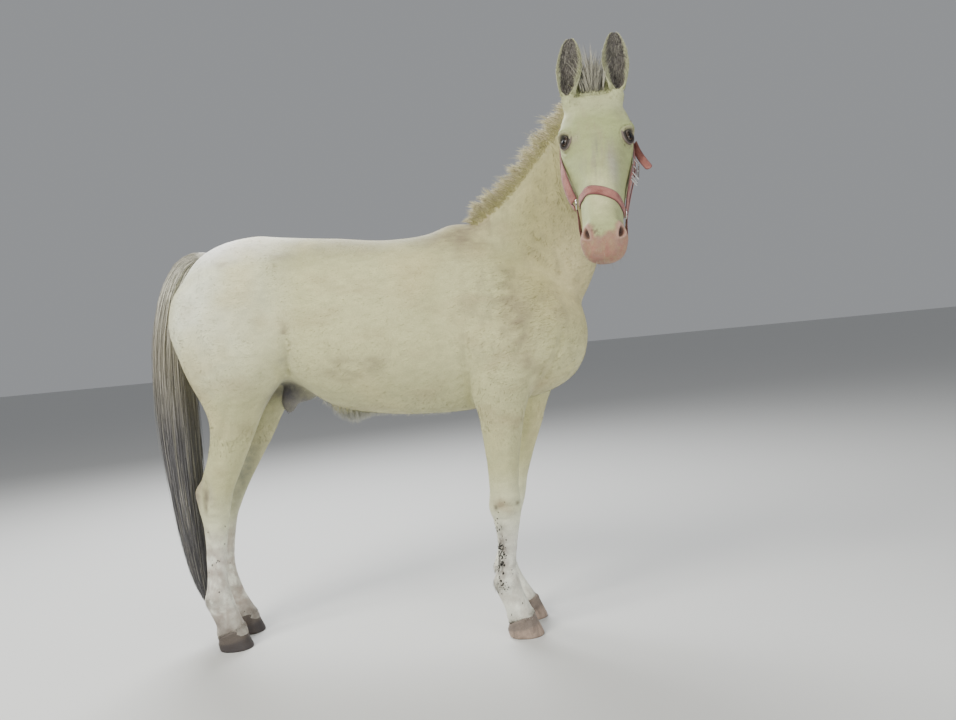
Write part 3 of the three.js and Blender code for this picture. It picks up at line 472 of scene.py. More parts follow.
# Forms that swell or sink, mirrored on both sides: centre, reach, how far they stand out
TRUNK_FORMS = [
    ((-400, 215, 1120), (150, 150, 140), 14),  # haunch
    ((-185, 205, 1290), (50, 70, 45), 14),  # point of the hip
    ((-205, 225, 1150), (60, 80, 80), -15),  # hollow of the flank
    ((-250, 215, 990), (60, 80, 70), 10),  # stifle
    ((505, 180, 945), (75, 90, 80), 15),  # triceps
    ((470, 140, 1180), (80, 90, 140), 10),  # shoulder blade
    ((690, 140, 1010), (50, 60, 65), 13),  # point of the shoulder
    ((790, 60, 985), (50, 45, 70), 13),  # breast
    ((345, 200, 1120), (40, 90, 140), -8),  # behind the shoulder blade
    ((595, 170, 1180), (34, 90, 110), -7),  # in front of the shoulder blade
    ((-490, 130, 1290), (60, 70, 60), -7),  # beside the dock
    ((-520, 190, 1010), (36, 60, 110), 9),  # hamstring
    ((380, 60, 1395), (70, 40, 40), 6),  # withers
    ((60, 225, 1000), (150, 80, 110), 5),  # barrel
]
# Soft grooves (negative) and ridges, the same on both sides: points, width, depth
LINES = [
    ([(585, 130, 745), (650, 150, 785), (700, 135, 830), (738, 106, 868), (755, 90, 905)], 10, -10),  # breast
    ([(637, 118, 816), (680, 150, 880), (712, 166, 939), (722, 160, 1000)], 11, -8),
    ([(600, 150, 795), (660, 160, 850), (702, 152, 905)], 12, 5),
    ([(405, 60, 758), (406, 123, 808), (412, 177, 885), (419, 198, 970), (412, 200, 1040)], 11, -11),  # elbow
    ([(445, 150, 800), (455, 190, 880), (452, 198, 950)], 16, 5),
    ([(455, 190, 1060), (520, 190, 1030), (600, 190, 985)], 20, -5),  # over the triceps
    ([(560, 185, 900), (600, 188, 960), (630, 180, 1030)], 13, -5),  # front of the arm
    ([(-209, 117, 918), (-190, 165, 945), (-178, 190, 972), (-168, 212, 1012), (-158, 224, 1060)], 11, -11),
    ([(-245, 125, 890), (-225, 170, 925), (-212, 200, 965), (-205, 215, 1010)], 13, 8),  # fold of the flank
    ([(-150, 120, 880), (-60, 170, 840), (60, 165, 800)], 20, -4),  # above the milk vein
    ([(140, 150, 790), (0, 155, 800), (-130, 140, 845)], 11, 4),  # milk vein
    ([(-400, 215, 900), (-430, 212, 1010), (-450, 195, 1120), (-440, 165, 1230)], 20, -6),  # thigh muscles
    ([(-325, 236, 1000), (-345, 236, 1120), (-325, 225, 1220)], 24, -4),
    ([(560, 150, 1330), (640, 130, 1290), (720, 100, 1240)], 15, -4),  # base of the neck
    ([(500, 100, 1340), (560, 130, 1250), (640, 150, 1170)], 22, -4),
    ([(700, 110, 1350), (740, 105, 1250), (760, 85, 1150)], 14, -5),  # groove of the throat
    ([(-560, 60, 1180), (-580, 50, 1080)], 16, -8),  # seat
    ([(300, 210, 1180), (285, 225, 1050), (255, 215, 930)], 13, -2.5),  # ribs
    ([(225, 215, 1180), (205, 232, 1050), (175, 220, 930)], 13, -2.5),
    ([(150, 220, 1170), (130, 236, 1050), (100, 225, 930)], 13, -2.2),
    ([(75, 220, 1160), (55, 238, 1050), (30, 226, 940)], 13, -1.8),
]
# Grooves and knobs of the legs, on the outer and inner sides: points as (x, height), width, depth
FORE_LINES = [
    ([(463, 385), (459, 300), (455, 225)], 6, -6),  # between cannon and tendon
    ([(444, 390), (441, 300), (440, 220)], 7, 3),  # tendon
    ([(512, 720), (500, 640), (486, 560), (480, 490)], 13, -2.5),  # forearm muscles
    ([(575, 720), (540, 640), (520, 570)], 11, -2),
    ([(455, 690), (452, 600), (448, 510)], 11, -2.5),
    ([(440, 440), (480, 436), (520, 440)], 4.5, -2.5),
    ([(462, 150), (478, 118), (492, 95)], 8, -3),  # pastern
]
FORE_KNOBS = [
    ((497, 458), (30, 22), 5),  # knee
    ((490, 420), (26, 14), 3),
    ((438, 436), (14, 24), 4),  # accessory bone
    ((470, 392), (30, 9), -3),
    ((462, 183), (22, 20), 6),  # fetlock
    ((425, 176), (16, 20), 3),
    ((452, 54), (16, 20), 11),  # bulb of the heel
]
HIND_LINES = [
    ([(-562, 560), (-560, 610), (-552, 670), (-532, 745)], 9, -11),  # before the hamstring tendon
    ([(-545, 430), (-548, 340), (-552, 240)], 6, -6),  # between cannon and tendon
    ([(-568, 430), (-570, 340), (-572, 240)], 7, 3),
    ([(-420, 800), (-455, 700), (-480, 620)], 14, -3),  # gaskin muscles
    ([(-350, 900), (-400, 820), (-440, 740)], 14, -2.5),
    ([(-535, 600), (-524, 550), (-532, 500)], 8, -6),
    ([(-535, 578), (-536, 538), (-542, 500), (-547, 460)], 8, -8),
    ([(-545, 150), (-528, 118), (-512, 95)], 8, -3),
]
HIND_KNOBS = [
    ((-580, 562), (14, 28), 5),  # point of the hock
    ((-500, 530), (18, 32), 6),
    ((-540, 545), (9, 34), 4),
    ((-520, 478), (26, 12), 3),
    ((-525, 445), (30, 9), -3),
    ((-545, 180), (22, 20), 6),  # fetlock
    ((-588, 172), (16, 20), 3),
    ((-553, 54), (16, 20), 11),
]
# Forms of the head in its own frame
HEAD_FORMS = [
    ((150, 104, -20), (36, 30, 28), 23),  # brow
    ((172, 112, -40), (22, 22, 20), -6),  # eye socket
    ((118, 82, -6), (24, 18, 22), -5),  # hollow above the eye
    ((245, 92, -68), (70, 36, 15), 5),  # cheekbone
    ((215, 70, -190), (62, 45, 60), 9),  # jowl
    ((300, 55, -85), (60, 30, 25), -1.5),  # under the cheekbone
    ((350, 34, -8), (110, 12, 14), 2.5),  # edge of the nasal bone
    ((360, 46, -40), (90, 16, 16), -2.8),  # beside the nasal bone
    ((486, 46, -10), (22, 15, 16), 7),  # upper rim of the nostril
    ((508, 56, -36), (22, 15, 20), 7),  # outer rim of the nostril
    ((458, 48, -30), (20, 20, 22), -4),  # behind the nostril
    ((514, 0, -112), (26, 34, 24), 8),  # chin
    ((551, 0, -50), (20, 50, 16), 4),  # upper lip
    ((480, 50, -84), (26, 26, 7), -3),  # corner of the mouth
    ((60, 0, 4), (60, 26, 30), -2.5),  # middle of the forehead
    ((40, 46, 0), (60, 18, 30), 3),  # temple muscle
    ((84, 88, -45), (34, 30, 40), 5.5),  # temple
    ((210, 80, -130), (40, 40, 40), 4),  # chewing muscle
]
HEAD_LINES = [
    ([(205, 96, -66), (260, 84, -72), (330, 66, -66)], 6, 4.5),  # facial crest
    ([(330, 60, -90), (390, 54, -96), (450, 52, -92)], 6, 1.8),  # vein
    ([(262, 88, -100), (275, 76, -160), (262, 60, -210)], 5, 2.2),
    ([(130, 92, -150), (190, 92, -200), (240, 70, -235)], 10, 3.0),  # edge of the jaw
]


def groove(points, path, width):
    """Bell-shaped weight along a run of straight stretches, fading out at both ends."""
    path = np.array(path, float)
    best, along = np.full(len(points), 1e9), np.zeros(len(points))
    for k, (a, b) in enumerate(zip(path[:-1], path[1:])):
        t = np.clip(((points - a) @ (b - a)) / np.dot(b - a, b - a), 0, 1)
        gap = np.linalg.norm(points - (a + t[:, None] * (b - a)), axis=1)
        along = np.where(gap < best, (k + t) / (len(path) - 1), along)
        best = np.minimum(best, gap)
    return np.exp(-(best / width) ** 2) * np.minimum(1, 0.15 + 4 * np.minimum(along, 1 - along))


def leg_moves(points, name):
    """Which points belong to one leg, and how far its grooves and knobs move them."""
    table, side, shifts = LEGS[name]
    fore = "front" in name
    lines, knobs = (FORE_LINES, FORE_KNOBS) if fore else (HIND_LINES, HIND_KNOBS)
    outs = np.interp(points[:, 2], table[::-1, 0], table[::-1, 3]) * side
    mine = (np.abs(points[:, 1] - outs) < 130) & (points[:, 2] < 1000) & (points[:, 1] * side > 0)
    mine &= (points[:, 0] > 300) == fore
    p = points[mine]
    flat = np.stack([p[:, 0] - shift_at(shifts, p[:, 2]), p[:, 2]], axis=1)
    sideways = np.clip(np.abs(p[:, 1] - outs[mine]) / 22, 0, 1)
    move = np.zeros(len(p))
    for path, width, out in lines:
        move += out * sideways * groove(flat, path, width)
    for centre, reach, out in knobs:
        move += out * near(flat, centre, reach)
    return mine, move


def form_moves(points):
    """How far each point of the skin stands out from the plain lofts, in mm."""
    move = np.zeros(len(points))
    trunk_part = (points[:, 2] > 620) & (points[:, 0] < 830) & (np.abs(points[:, 1]) < 300)
    local = to_head(points)
    head_part = (local[:, 0] > -40) & (local[:, 0] < 620) & (local[:, 2] > -290) & (np.abs(local[:, 1]) < 150)
    for places, forms, lines, part in ((both_sides(points), TRUNK_FORMS, LINES, trunk_part),
                                       (both_sides(local), HEAD_FORMS, HEAD_LINES, head_part)):
        for centre, reach, out in forms:
            move += out * near(places, centre, reach) * part
        for path, width, out in lines:
            move += out * groove(places, path, width) * part
    for name in LEGS:
        mine, here = leg_moves(points, name)
        move[mine] += here
    move += np.interp(local[:, 0], [225, 290, 385, 430], [0, 4.6, 4.6, 2.2]) * head_part   # fuller nose
    return move, head_part


def almond(local, side):
    """Place of points in the plane of one eye's opening: along, across and depth, in mm."""
    out, along, across = eye_frame(side)
    rel = local - EYES[side]
    return rel @ along, rel @ (unit(across) * side), rel @ out


def nostril(local, side):
    """How far points lie in the comma of one nostril, and in its rim, both 0 to 1."""
    rel = local - NOSTRIL_AT * [1, side, 1]
    along = unit(np.array([0.85, -0.40 * side, -0.34]))
    across = unit(np.cross(along, [0.3, 0.55 * side, 0.75])) * side
    u, v = rel @ along, rel @ across
    curve = v - 0.012 * u * u
    close = np.linalg.norm(rel, axis=1) < 36
    taper = np.interp(u, [-15, -3, 9, 16], [3.8, 6.2, 5.4, 3.4])
    hollow = np.exp(-(np.abs(u / 14) ** 4 + np.abs(curve / taper) ** 3)) * close
    rim = np.exp(-((np.hypot(u / 19, curve / (taper + 6.5)) - 1) / 0.28) ** 2) * close
    return hollow, rim


def carve_head(points, normals, head_part):
    """Eye openings, nostrils and the line of the mouth, pressed into the skin."""
    local = to_head(points[head_part])
    out = to_head(points[head_part] + normals[head_part]) - local
    local[:, 1] += CARVING["bow"] * np.exp(-((local[:, 0] - 335) / 75) ** 2)
    for side in (1, -1):
        a, b, depth = almond(local, side)
        inside = np.exp(-((a / OPENING[0]) ** 4 + (b / OPENING[1]) ** 4)) * (depth > -5)
        local -= CARVING["socket"] * inside[:, None] * EYE_OUT * [1, side, 1]
        rim = np.exp(-((np.hypot(a / 22.0, b / 20.5) - 1) / 0.20) ** 2) * (depth > -5)
        local += CARVING["lid"] * rim[:, None] * out
        above = 0.75 + 0.25 * np.tanh(b * side / 6)
        fold = np.exp(-((np.hypot(a / 31, b / 28.5) - 1) / 0.08) ** 2) * (depth > -10) * above
        local -= CARVING["fold"] * fold[:, None] * out
        hollow, rim = nostril(local, side)
        local -= CARVING["nostril"] * hollow[:, None] * unit(np.array([-0.1, 0.62 * side, 0.72]))
        local += CARVING["nostril_rim"] * rim[:, None] * out
    mouth = np.exp(-((local[:, 2] - MOUTH["height"] - 0.0012 * (local[:, 0] - 520) ** 2 + 1) / 2.6) ** 2)
    mouth *= rise(local[:, 0], MOUTH["corner"], 12)
    local -= CARVING["mouth"] * mouth[:, None] * out
    points[head_part] = from_head(local)
    return points


def relax(points, edges, rounds, weight):
    """Evens the mesh out; weight, for each point, says how strongly."""
    n = len(points)
    degree = np.bincount(edges.ravel(), minlength=n)[:, None]
    for _ in range(rounds):
        total = np.zeros_like(points)
        for axis in range(3):
            total[:, axis] = (np.bincount(edges[:, 0], points[edges[:, 1], axis], n)
                              + np.bincount(edges[:, 1], points[edges[:, 0], axis], n))
        points = points + weight[:, None] * (total / degree - points)
    return points


def mesh_edges(mesh):
    return read(mesh.edges, "vertices", 2, np.int64)


def fuse_flesh():
    """One closed mesh round all the forms of flesh."""
    grow = -COAT_DEPTH
    parts = [trunk(grow), neck(grow), skull(grow), ear_root("right", grow + 1), ear_root("left", grow + 1)]
    parts += [leg(table, side, shifts, grow) for table, side, shifts in LEGS.values()]
    parts += [blob(centre, size) for centre, size in SHEATH]
    skin = new_object("skin", *join(parts))
    remesh = skin.modifiers.new("fuse", "REMESH")
    remesh.mode = "VOXEL"
    remesh.voxel_size = VOXEL
    bpy.context.view_layer.objects.active = skin
    bpy.ops.object.modifier_apply(modifier="fuse")
    return skin


def refine(mesh, chosen):
    """A net twice as fine between the chosen points."""
    net = bmesh.new()
    net.from_mesh(mesh)
    net.verts.ensure_lookup_table()
    edges = [e for e in net.edges if chosen[e.verts[0].index] and chosen[e.verts[1].index]]
    bmesh.ops.subdivide_edges(net, edges=edges, cuts=1, use_grid_fill=True)
    net.to_mesh(mesh)
    net.free()
    mesh.update()


def build_skin():
    skin = fuse_flesh()
    mesh = skin.data
    points = mesh_arrays(mesh)
    face = to_head(points)[:, 0]
    head = before_neck(points, -20, -270)
    joint = (points[:, 2] > 680) & (points[:, 2] < 1250) & ~head
    throat = near(points, (800, -230, 1450), (130, 130, 160))
    weight = np.where(head, 0.05, np.where(points[:, 2] < 700, 0.1, 0.4 + 0.2 * joint))
    weight = np.maximum(weight, 0.6 * np.clip(throat * 1.3, 0, 1) * ~(face > 300))
    edges = mesh_edges(mesh)
    points = relax(points, edges, 6, np.full(len(points), 0.5))
    set_points(mesh, relax(points, edges, 26, np.clip(weight, 0, 0.6)))
    refine(mesh, head & (face > 0))
    points = mesh_arrays(mesh)
    points = relax(points, mesh_edges(mesh), 3, 0.5 * before_neck(points, -10, -275))
    set_points(mesh, points)
    normals = vertex_normals(mesh)
    move, head_part = form_moves(points)
    move += 1.1 * (cloud(points, 55, 4) - 0.5) * (1 - head_part)
    points = points + move[:, None] * normals
    set_points(mesh, points)
    set_points(mesh, carve_head(points, vertex_normals(mesh), head_part))
    mesh.shade_smooth()
    return skin


# Colours, the same for skin and coat: all in linear light

CREAM = (0.58, 0.565, 0.305)
NECK_CREAM = (0.375, 0.345, 0.162)
FACE_CREAM = (0.355, 0.395, 0.178)
PALE = (0.80, 0.825, 0.67)
WHITE = (0.93, 0.92, 0.88)
YELLOW = (0.62, 0.56, 0.29)
TAN = (0.36, 0.28, 0.16)
SMUDGE_AND_SHADE = (0.22, 0.175, 0.115)
GREY = (0.17, 0.16, 0.145)
DARK = (0.035, 0.032, 0.030)
PINK = (0.33, 0.145, 0.115)
BLACK = (0.0, 0.0, 0.0)
# Smaller marks of trunk, legs and head, among them painted light on the breast and painted shade in the
# nostrils
BREAST_CREAM_AND_LIGHT = (0.66, 0.585, 0.33)
DUST = (0.30, 0.265, 0.16)
SPLASH = (0.035, 0.030, 0.028)
LEG_DIRT = (0.34, 0.29, 0.24)
LEG_MOTTLE = (0.32, 0.24, 0.20)
HOOF_DIRT = (0.20, 0.165, 0.14)
BROW = (0.50, 0.51, 0.29)
BRIDGE = (0.62, 0.61, 0.34)
FACE_MARK = (0.27, 0.26, 0.20)
FACE_LINE = (0.22, 0.215, 0.16)
FACE_BARE = (0.40, 0.375, 0.34)
FACE_DAPPLE = (0.31, 0.30, 0.16)
FACE_STREAK = (0.36, 0.30, 0.19)
MUZZLE_SPOT = (0.13, 0.075, 0.06)
MUZZLE_PATCH = (0.30, 0.17, 0.15)
LIPS = (0.16, 0.08, 0.075)
NOSTRIL_RIM = (0.50, 0.33, 0.26)
NOSTRIL_SHADE = (0.065, 0.038, 0.032)
LID_SKIN = (0.25, 0.195, 0.155)
INNER_LID = (0.33, 0.255, 0.215)
POLL_GREY = (0.13, 0.12, 0.105)
NOSE_GREY = (0.30, 0.245, 0.215)

FLOW = (0.45, 1, 1)           # grains drawn out along the body

# Stains, with painted shade in the fold of the flank, the groin and the hock where noted: place, reach,
# colour, strength, side (0 both, 1 left, -1 right)
STAINS_AND_SHADES = [
    ((560, -178, 1110), (60, 90, 65), SMUDGE_AND_SHADE, 0.62, -1),
    ((592, -190, 1010), (48, 90, 70), SMUDGE_AND_SHADE, 0.72, -1),
    ((620, -160, 890), (42, 80, 60), SMUDGE_AND_SHADE, 0.50, -1),
    ((520, -190, 920), (60, 80, 60), TAN, 0.35, -1),
    ((470, 190, 1150), (90, 120, 110), SMUDGE_AND_SHADE, 0.45, 1),
    ((600, 170, 960), (70, 90, 80), SMUDGE_AND_SHADE, 0.45, 1),
    ((35, -217, 930), (80, 90, 36), SMUDGE_AND_SHADE, 0.75, -1),
    ((110, -225, 945), (60, 90, 30), SMUDGE_AND_SHADE, 0.40, -1),
    ((60, 210, 930), (90, 130, 50), SMUDGE_AND_SHADE, 0.50, 1),
    # fold of the flank: partly dirt, partly painted shade in the crease
    ((-160, -225, 1045), (15, 60, 55), SMUDGE_AND_SHADE, 0.75, 0),
    ((-180, -190, 972), (22, 60, 40), GREY, 0.50, 0),
    ((432, -52, 1344), (120, 110, 80), SMUDGE_AND_SHADE, 0.90, 0),
    ((-346, -191, 1315), (36, 50, 20), SMUDGE_AND_SHADE, 0.55, -1),
    ((-165, -190, 1320), (30, 50, 18), SMUDGE_AND_SHADE, 0.45, -1),
    # painted shade in the groin, under the belly between the thighs
    ((-330, -60, 900), (120, 60, 90), GREY, 0.8, 0),
    # painted shade at the back of the hock
    ((-555, -90, 575), (40, 60, 60), (0.30, 0.26, 0.20), 0.60, 0),
    ((-18, 0, 760), (75, 50, 34), GREY, 0.6, 0),
    ((650, 0, 860), (90, 120, 60), TAN, 0.35, 0),
    ((-560, 0, 1130), (50, 90, 130), GREY, 0.5, 0),
    ((-545, -80, 300), (50, 70, 130), (0.34, 0.26, 0.21), 0.70, 0),
    ((-535, -80, 130), (60, 70, 70), (0.24, 0.18, 0.15), 0.85, 0),
    ((465, -80, 215), (50, 70, 50), (0.30, 0.26, 0.22), 0.65, -1),
    ((462, -95, 300), (40, 60, 90), (0.26, 0.23, 0.20), 0.75, -1),
]
# Marks with a soft edge that cover the coat whole, on both sides unless a side is given; those of the groin,
# the far hind leg's inner side and the hock are painted shade
MARKS = [
    # dark groin and sheath: painted shade in the groin, partly the sheath's own dark skin
    ((-240, -45, 868), (78, 85, 52), (0.085, 0.080, 0.088), 0.94, 0),
    ((-190, 0, 845), (75, 50, 46), (0.115, 0.108, 0.122), 0.92, 0),
    ((-250, 0, 812), (48, 50, 52), (0.13, 0.12, 0.135), 0.95, 0),
    # painted shade on the inner side of the far hind leg
    ((-470, 45, 600), (120, 42, 240), (0.185, 0.19, 0.14), 0.92, 1),
    # painted shade in the hollow and grooves of the hock
    ((-575, -105, 540), (17, 60, 52), (0.28, 0.225, 0.17), 0.75, 0),
    ((-534, -118, 540), (8, 60, 26), (0.15, 0.12, 0.09), 0.80, 0),
    ((-541, -118, 502), (8, 60, 26), (0.17, 0.14, 0.105), 0.75, 0),
    ((-515, -118, 545), (16, 60, 40), (0.36, 0.33, 0.25), 0.45, 0),
    ((474, -130, 446), (27, 60, 20), (0.24, 0.16, 0.09), 0.68, -1),
    ((500, -130, 425), (20, 60, 16), (0.30, 0.22, 0.14), 0.38, -1),
    ((455, -130, 434), (7, 60, 7), (0.06, 0.045, 0.035), 0.8, -1),
    ((526, -110, 446), (7, 60, 7), (0.08, 0.055, 0.04), 0.7, -1),
]


def mix(colour, other, amount):
    amount = np.clip(amount, 0, 1)[:, None]
    return colour * (1 - amount) + np.array(other) * amount


def plain(colour, count):
    return np.tile(np.array(colour), (count, 1))


def trunk_layers(points):
    """Broad colours of trunk, neck and legs, with painted light on the top of the croup and the front of the
    neck.
    """
    x, _, z = points.T
    on_top, fore = rise(z, 1290, 90), rise(x, 330, 150)
    along_back = rise(z, 1250, 60) * rise(x, -260, 160) * fall(x, 420, 100)
    streaky = patches(points * [1, 0.6, 0.35], 17, 38, 0.5, 5) * rise(z, 850, 100)
    return [
        (NECK_CREAM, 0.95 * rise(x, 500, 160) * rise(z, 900, 200)),
        # yellow cream of the breast, partly painted light on the front of the neck
        (BREAST_CREAM_AND_LIGHT, 0.9 * near(points, (770, -60, 1190), (75, 200, 150))),
        (PALE, np.clip((-x - 100) / 400, 0, 0.85) * rise(z, 850, 300)),
        # top of the croup whiter: partly its pale coat, partly painted light from above
        (WHITE, 0.95 * on_top * fall(x, -100, 200)),
        (BLACK, 0.26 * near(points, (430, -40, 1360), (120, 150, 75))),
        (BLACK, 0.20 * along_back),
        (BLACK, 0.11 * rise(z, 470, 60) * fall(z, 960, 160)),
        (SMUDGE_AND_SHADE, 0.66 * on_top * rise(x, -230, 260) * (x < 520)),
        (PALE, 0.75 * fall(z, 560, 250)),
        (WHITE, 0.5 * fall(z, 430, 120)),
        (YELLOW, 0.55 * patches(points, 190, 2, 0.50, 4) * (z > 500)),
        (TAN, (0.30 + 0.16 * fore) * patches(points * FLOW, 70, 14, 0.55, 4) * (z > 600)),
        (DUST, 0.30 * fore * streaky),
    ]


def stain_and_shade_layers(points):
    """Mottled stains and marks with a soft edge, some of them painted shade."""
    right = both_sides(points) * [1, -1, 1]
    mottle = patches(points * FLOW, 26, 9, 0.34, 3.0)
    blotch = 0.75 + 0.5 * cloud(points, 10, 27)
    return [(stain_and_shade, strength * near(points if side else right, centre, reach) * cover)
            for table, cover in ((STAINS_AND_SHADES, mottle), (MARKS, blotch))
            for centre, reach, stain_and_shade, strength, side in table]


def leg_layers(points):
    """Splashes, dirt above the hooves and mottling of the lower legs."""
    x, _, z = points.T
    hind = np.clip(-x / 100, 0, 1)
    dirty = (0.35 + 0.45 * hind) * fall(z, 96 + 30 * hind, 34)
    splash = near(points, (452, -105, 280), (20, 34, 82)) * patches(points * [1, 1, 0.6], 11, 25, 0.5, 9)
    mottled = patches(points * [1, 1, 0.5], 9, 41, 0.46, 6)
    return [
        (SPLASH, splash),
        (LEG_DIRT, 0.40 * patches(points * [1, 1, 0.4], 22, 5, 0.45, 4) * fall(z, 420, 120)),
        (LEG_MOTTLE, (0.12 + 0.24 * hind) * mottled * fall(z, 440, 120)),
        (HOOF_DIRT, dirty * (0.4 + cloud(points, 30, 6))),
    ]


def face_layers(local, head):
    """Creams, streaks and lines of the face."""
    front = head * rise(local[:, 2], -130, 60)
    marks = patches(local * [0.15, 1, 0.4], 13, 43, 0.50, 7) * near(local, (265, 0, 5), (75, 46, 40))
    line = near(local, (232, -1, 5), (40, 4, 40)) + 0.7 * near(local, (312, -9, 5), (34, 4, 40))
    streaks = patches(local * [0.18, 1, 0.5], 9, 17, 0.52, 5) * near(local, (190, 0, 0), (120, 60, 60))
    return [
        (FACE_CREAM, 0.95 * front),
        (BROW, 0.8 * front * fall(local[:, 0], 130, 60)),
        (BRIDGE, 0.9 * near(local, (385, 0, 5), (85, 34, 60)) * head),
        (FACE_MARK, 0.50 * marks * head),
        (FACE_LINE, 0.55 * line * (0.5 + cloud(local, 7, 44)) * head),
        (FACE_BARE, 0.50 * near(local, (300, 40, -5), (62, 18, 30)) * head),
        (FACE_DAPPLE, 0.30 * patches(local * [0.6, 1, 1], 26, 42, 0.45, 4) * front),
        (FACE_STREAK, 0.42 * streaks * front),
    ]


def muzzle_layers(local, head):
    s, side, d = local[:, 0], np.abs(local[:, 1]), local[:, 2]
    edge = s + 46 * (cloud(local, 26, 8) - 0.5) + 0.10 * side
    muzzle = rise(edge + 46 * rise(side, 22, 24), 500, 24) * head
    speckle = np.clip(0.82 + 0.6 * (cloud(local, 9, 18) - 0.5), 0, 1)
    spots = near(local, (503, -22, -14), (20, 18, 22)) * patches(local, 5, 28, 0.45, 8)
    lips = np.exp(-((d + 82) / 7) ** 2) * rise(s, 478, 20) * head
    return [
        (PINK, 0.96 * muzzle * speckle),
        (MUZZLE_SPOT, 0.7 * spots),
        (MUZZLE_PATCH, 0.45 * muzzle * patches(local, 14, 20, 0.5, 4)),
        (LIPS, 0.75 * lips),
    ]


def opening_layers(local, head, side):
    """Rim and hollow of one nostril, and the dark skin round one eye."""
    hollow, rim = nostril(local, side)
    a, b, depth = almond(local, side)
    gap = np.hypot(a / 18.0, b / 17.2)
    around = np.exp(-(np.maximum(gap - 1.0, 0) / 0.55) ** 2) * (depth > -14)
    lid = np.exp(-(np.maximum(gap - 0.9, 0) / 0.13) ** 2) * (depth > -8)
    return [
        (NOSTRIL_RIM, (0.70 if side > 0 else 0.45) * rim * head),
        # painted shade inside the hollow of each nostril
        (NOSTRIL_SHADE, 1.1 * hollow * head),
        (LID_SKIN, 0.72 * around * (0.55 + 0.6 * cloud(local, 10, 19)) * head),
        (DARK, 0.95 * lid * head),
    ]


def last_layers(points, local, head):
    """Pink inner corner of the right eye, grey poll and grey streaks of the nose."""
    poll = near(local, (4, 0, -5), (22, 27, 30)) * patches(points, 9, 3, 0.38, 4)
    nose = near(local, (270, 22, 0), (80, 16, 40)) * patches(local * [0.1, 1, 0.5], 7, 29, 0.46, 6)
    return [
        (INNER_LID, 0.50 * near(local, (184, -54, -16), (15, 11, 22)) * head),
        (POLL_GREY, 0.9 * poll),
        (NOSE_GREY, 0.5 * nose),
    ]


def paint(points):
    """Colour of the animal at points of its skin, from layers of named markings and stains."""
    local = to_head(points)
    head = (local[:, 0] > -40) & (local[:, 0] < 620) & (local[:, 2] > -300) & (np.abs(local[:, 1]) < 150)
    layers = trunk_layers(points) + stain_and_shade_layers(points) + leg_layers(points)
    layers += face_layers(local, head) + muzzle_layers(local, head)
    layers += opening_layers(local, head, 1) + opening_layers(local, head, -1)
    colour = plain(CREAM, len(points))
    for tone, share in layers + last_layers(points, local, head):
        colour = mix(colour, tone, share)
    fine = 0.85 + 0.30 * cloud(points * FLOW, 12, 12)
    return np.clip(colour * fine[:, None], 0, 1)


def set_colours(mesh, colours):
    attribute = mesh.attributes.new("tint", "FLOAT_COLOR", "POINT")
    data = np.concatenate([colours, np.ones((len(colours), 1))], axis=1)
    attribute.data.foreach_set("color", data.ravel())


# Hair: thin closed locks of three sides

def strands(name, paths, widths, across, colours, uv, profile, flat):
    """One mesh of many locks. paths: locks x steps x 3; widths in mm; across: flat side of each."""
    count, steps, _ = paths.shape
    rings = steps - 1
    if profile is None:
        profile = np.interp(np.linspace(0, 1, steps), [0, 0.3, 0.7, 1], [0.8, 1, 0.75, 0])
    ahead = unit(np.gradient(paths, axis=1))
    across = unit(across[:, None, :] - ahead * (ahead * across[:, None, :]).sum(axis=2, keepdims=True))
    out = np.cross(ahead, across)
    half = (widths[:, None] * profile[None, :] / 2)[..., None]
    left = paths - across * half
    right = paths + across * half
    top = paths + out * half * 2 * flat
    body = np.stack([left[:, :rings], right[:, :rings], top[:, :rings]], axis=2)
    per = rings * 3 + 1
    verts = np.concatenate([body.reshape(count, rings * 3, 3), paths[:, -1:, :]], axis=1)
    tris = [(0, 2, 1)]
    for r in range(rings - 1):
        for k in range(3):
            a, b = r * 3 + k, r * 3 + (k + 1) % 3
            tris += [(a, b, b + 3), (a, b + 3, a + 3)]
    for k in range(3):
        tris.append(((rings - 1) * 3 + k, (rings - 1) * 3 + (k + 1) % 3, rings * 3))
    tris = np.array(tris)
    faces = (tris[None] + (np.arange(count) * per)[:, None, None]).reshape(-1, 3)
    mesh = bpy.data.meshes.new(name)
    mesh.vertices.add(count * per)
    mesh.vertices.foreach_set("co", to_row(verts.reshape(-1, 3)).ravel())
    mesh.loops.add(len(faces) * 3)
    mesh.loops.foreach_set("vertex_index", faces.ravel())
    mesh.polygons.add(len(faces))
    mesh.polygons.foreach_set("loop_start", np.arange(len(faces)) * 3)
    mesh.update(calc_edges=True)
    mesh.shade_smooth()
    set_colours(mesh, np.repeat(colours, per, axis=0) if colours.ndim == 2 else colours.reshape(-1, 3))
    # a small patch of the map for each lock, at its root's place on the skin
    share = np.concatenate([np.tile([[0, 0], [1, 0], [0.5, 0.6]], (rings, 1)), [[0.5, 1]]])
    share[:rings * 3, 1] = np.repeat(np.linspace(0, 0.9, rings), 3)
    spots = uv[:, None, :] + (share[None] - 0.5) * 0.003
    layer = mesh.uv_layers.new(name="OFBake")
    layer.data.foreach_set("uv", np.clip(spots.reshape(-1, 2)[faces.ravel()], 0, 1).ravel())
    return link_new(name, mesh)


def set_hair(name, slot, paths, widths, across, colours, uv=None, profile=None, flat=0.3):
    """A piece of hair on the animal, each lock on the map at the place of its root."""
    if uv is None:
        uv = body_map.map_place(paths[:, 0])
    hair = strands(name, paths, widths, across, colours, uv, profile, flat)
    place_piece(hair, hair_look, slot)
    return hair


def shares(count):
    """Shares of a lock's length, shaped to spread over locks and axes."""
    return np.linspace(0, 1, count)[None, :, None]


def by_ring(shades):
    """Colours of a lock's points from those of its rings: three points a ring and one at the tip."""
    return np.concatenate([np.repeat(shades[:, :-1], 3, axis=1), shades[:, -1:]], axis=1)


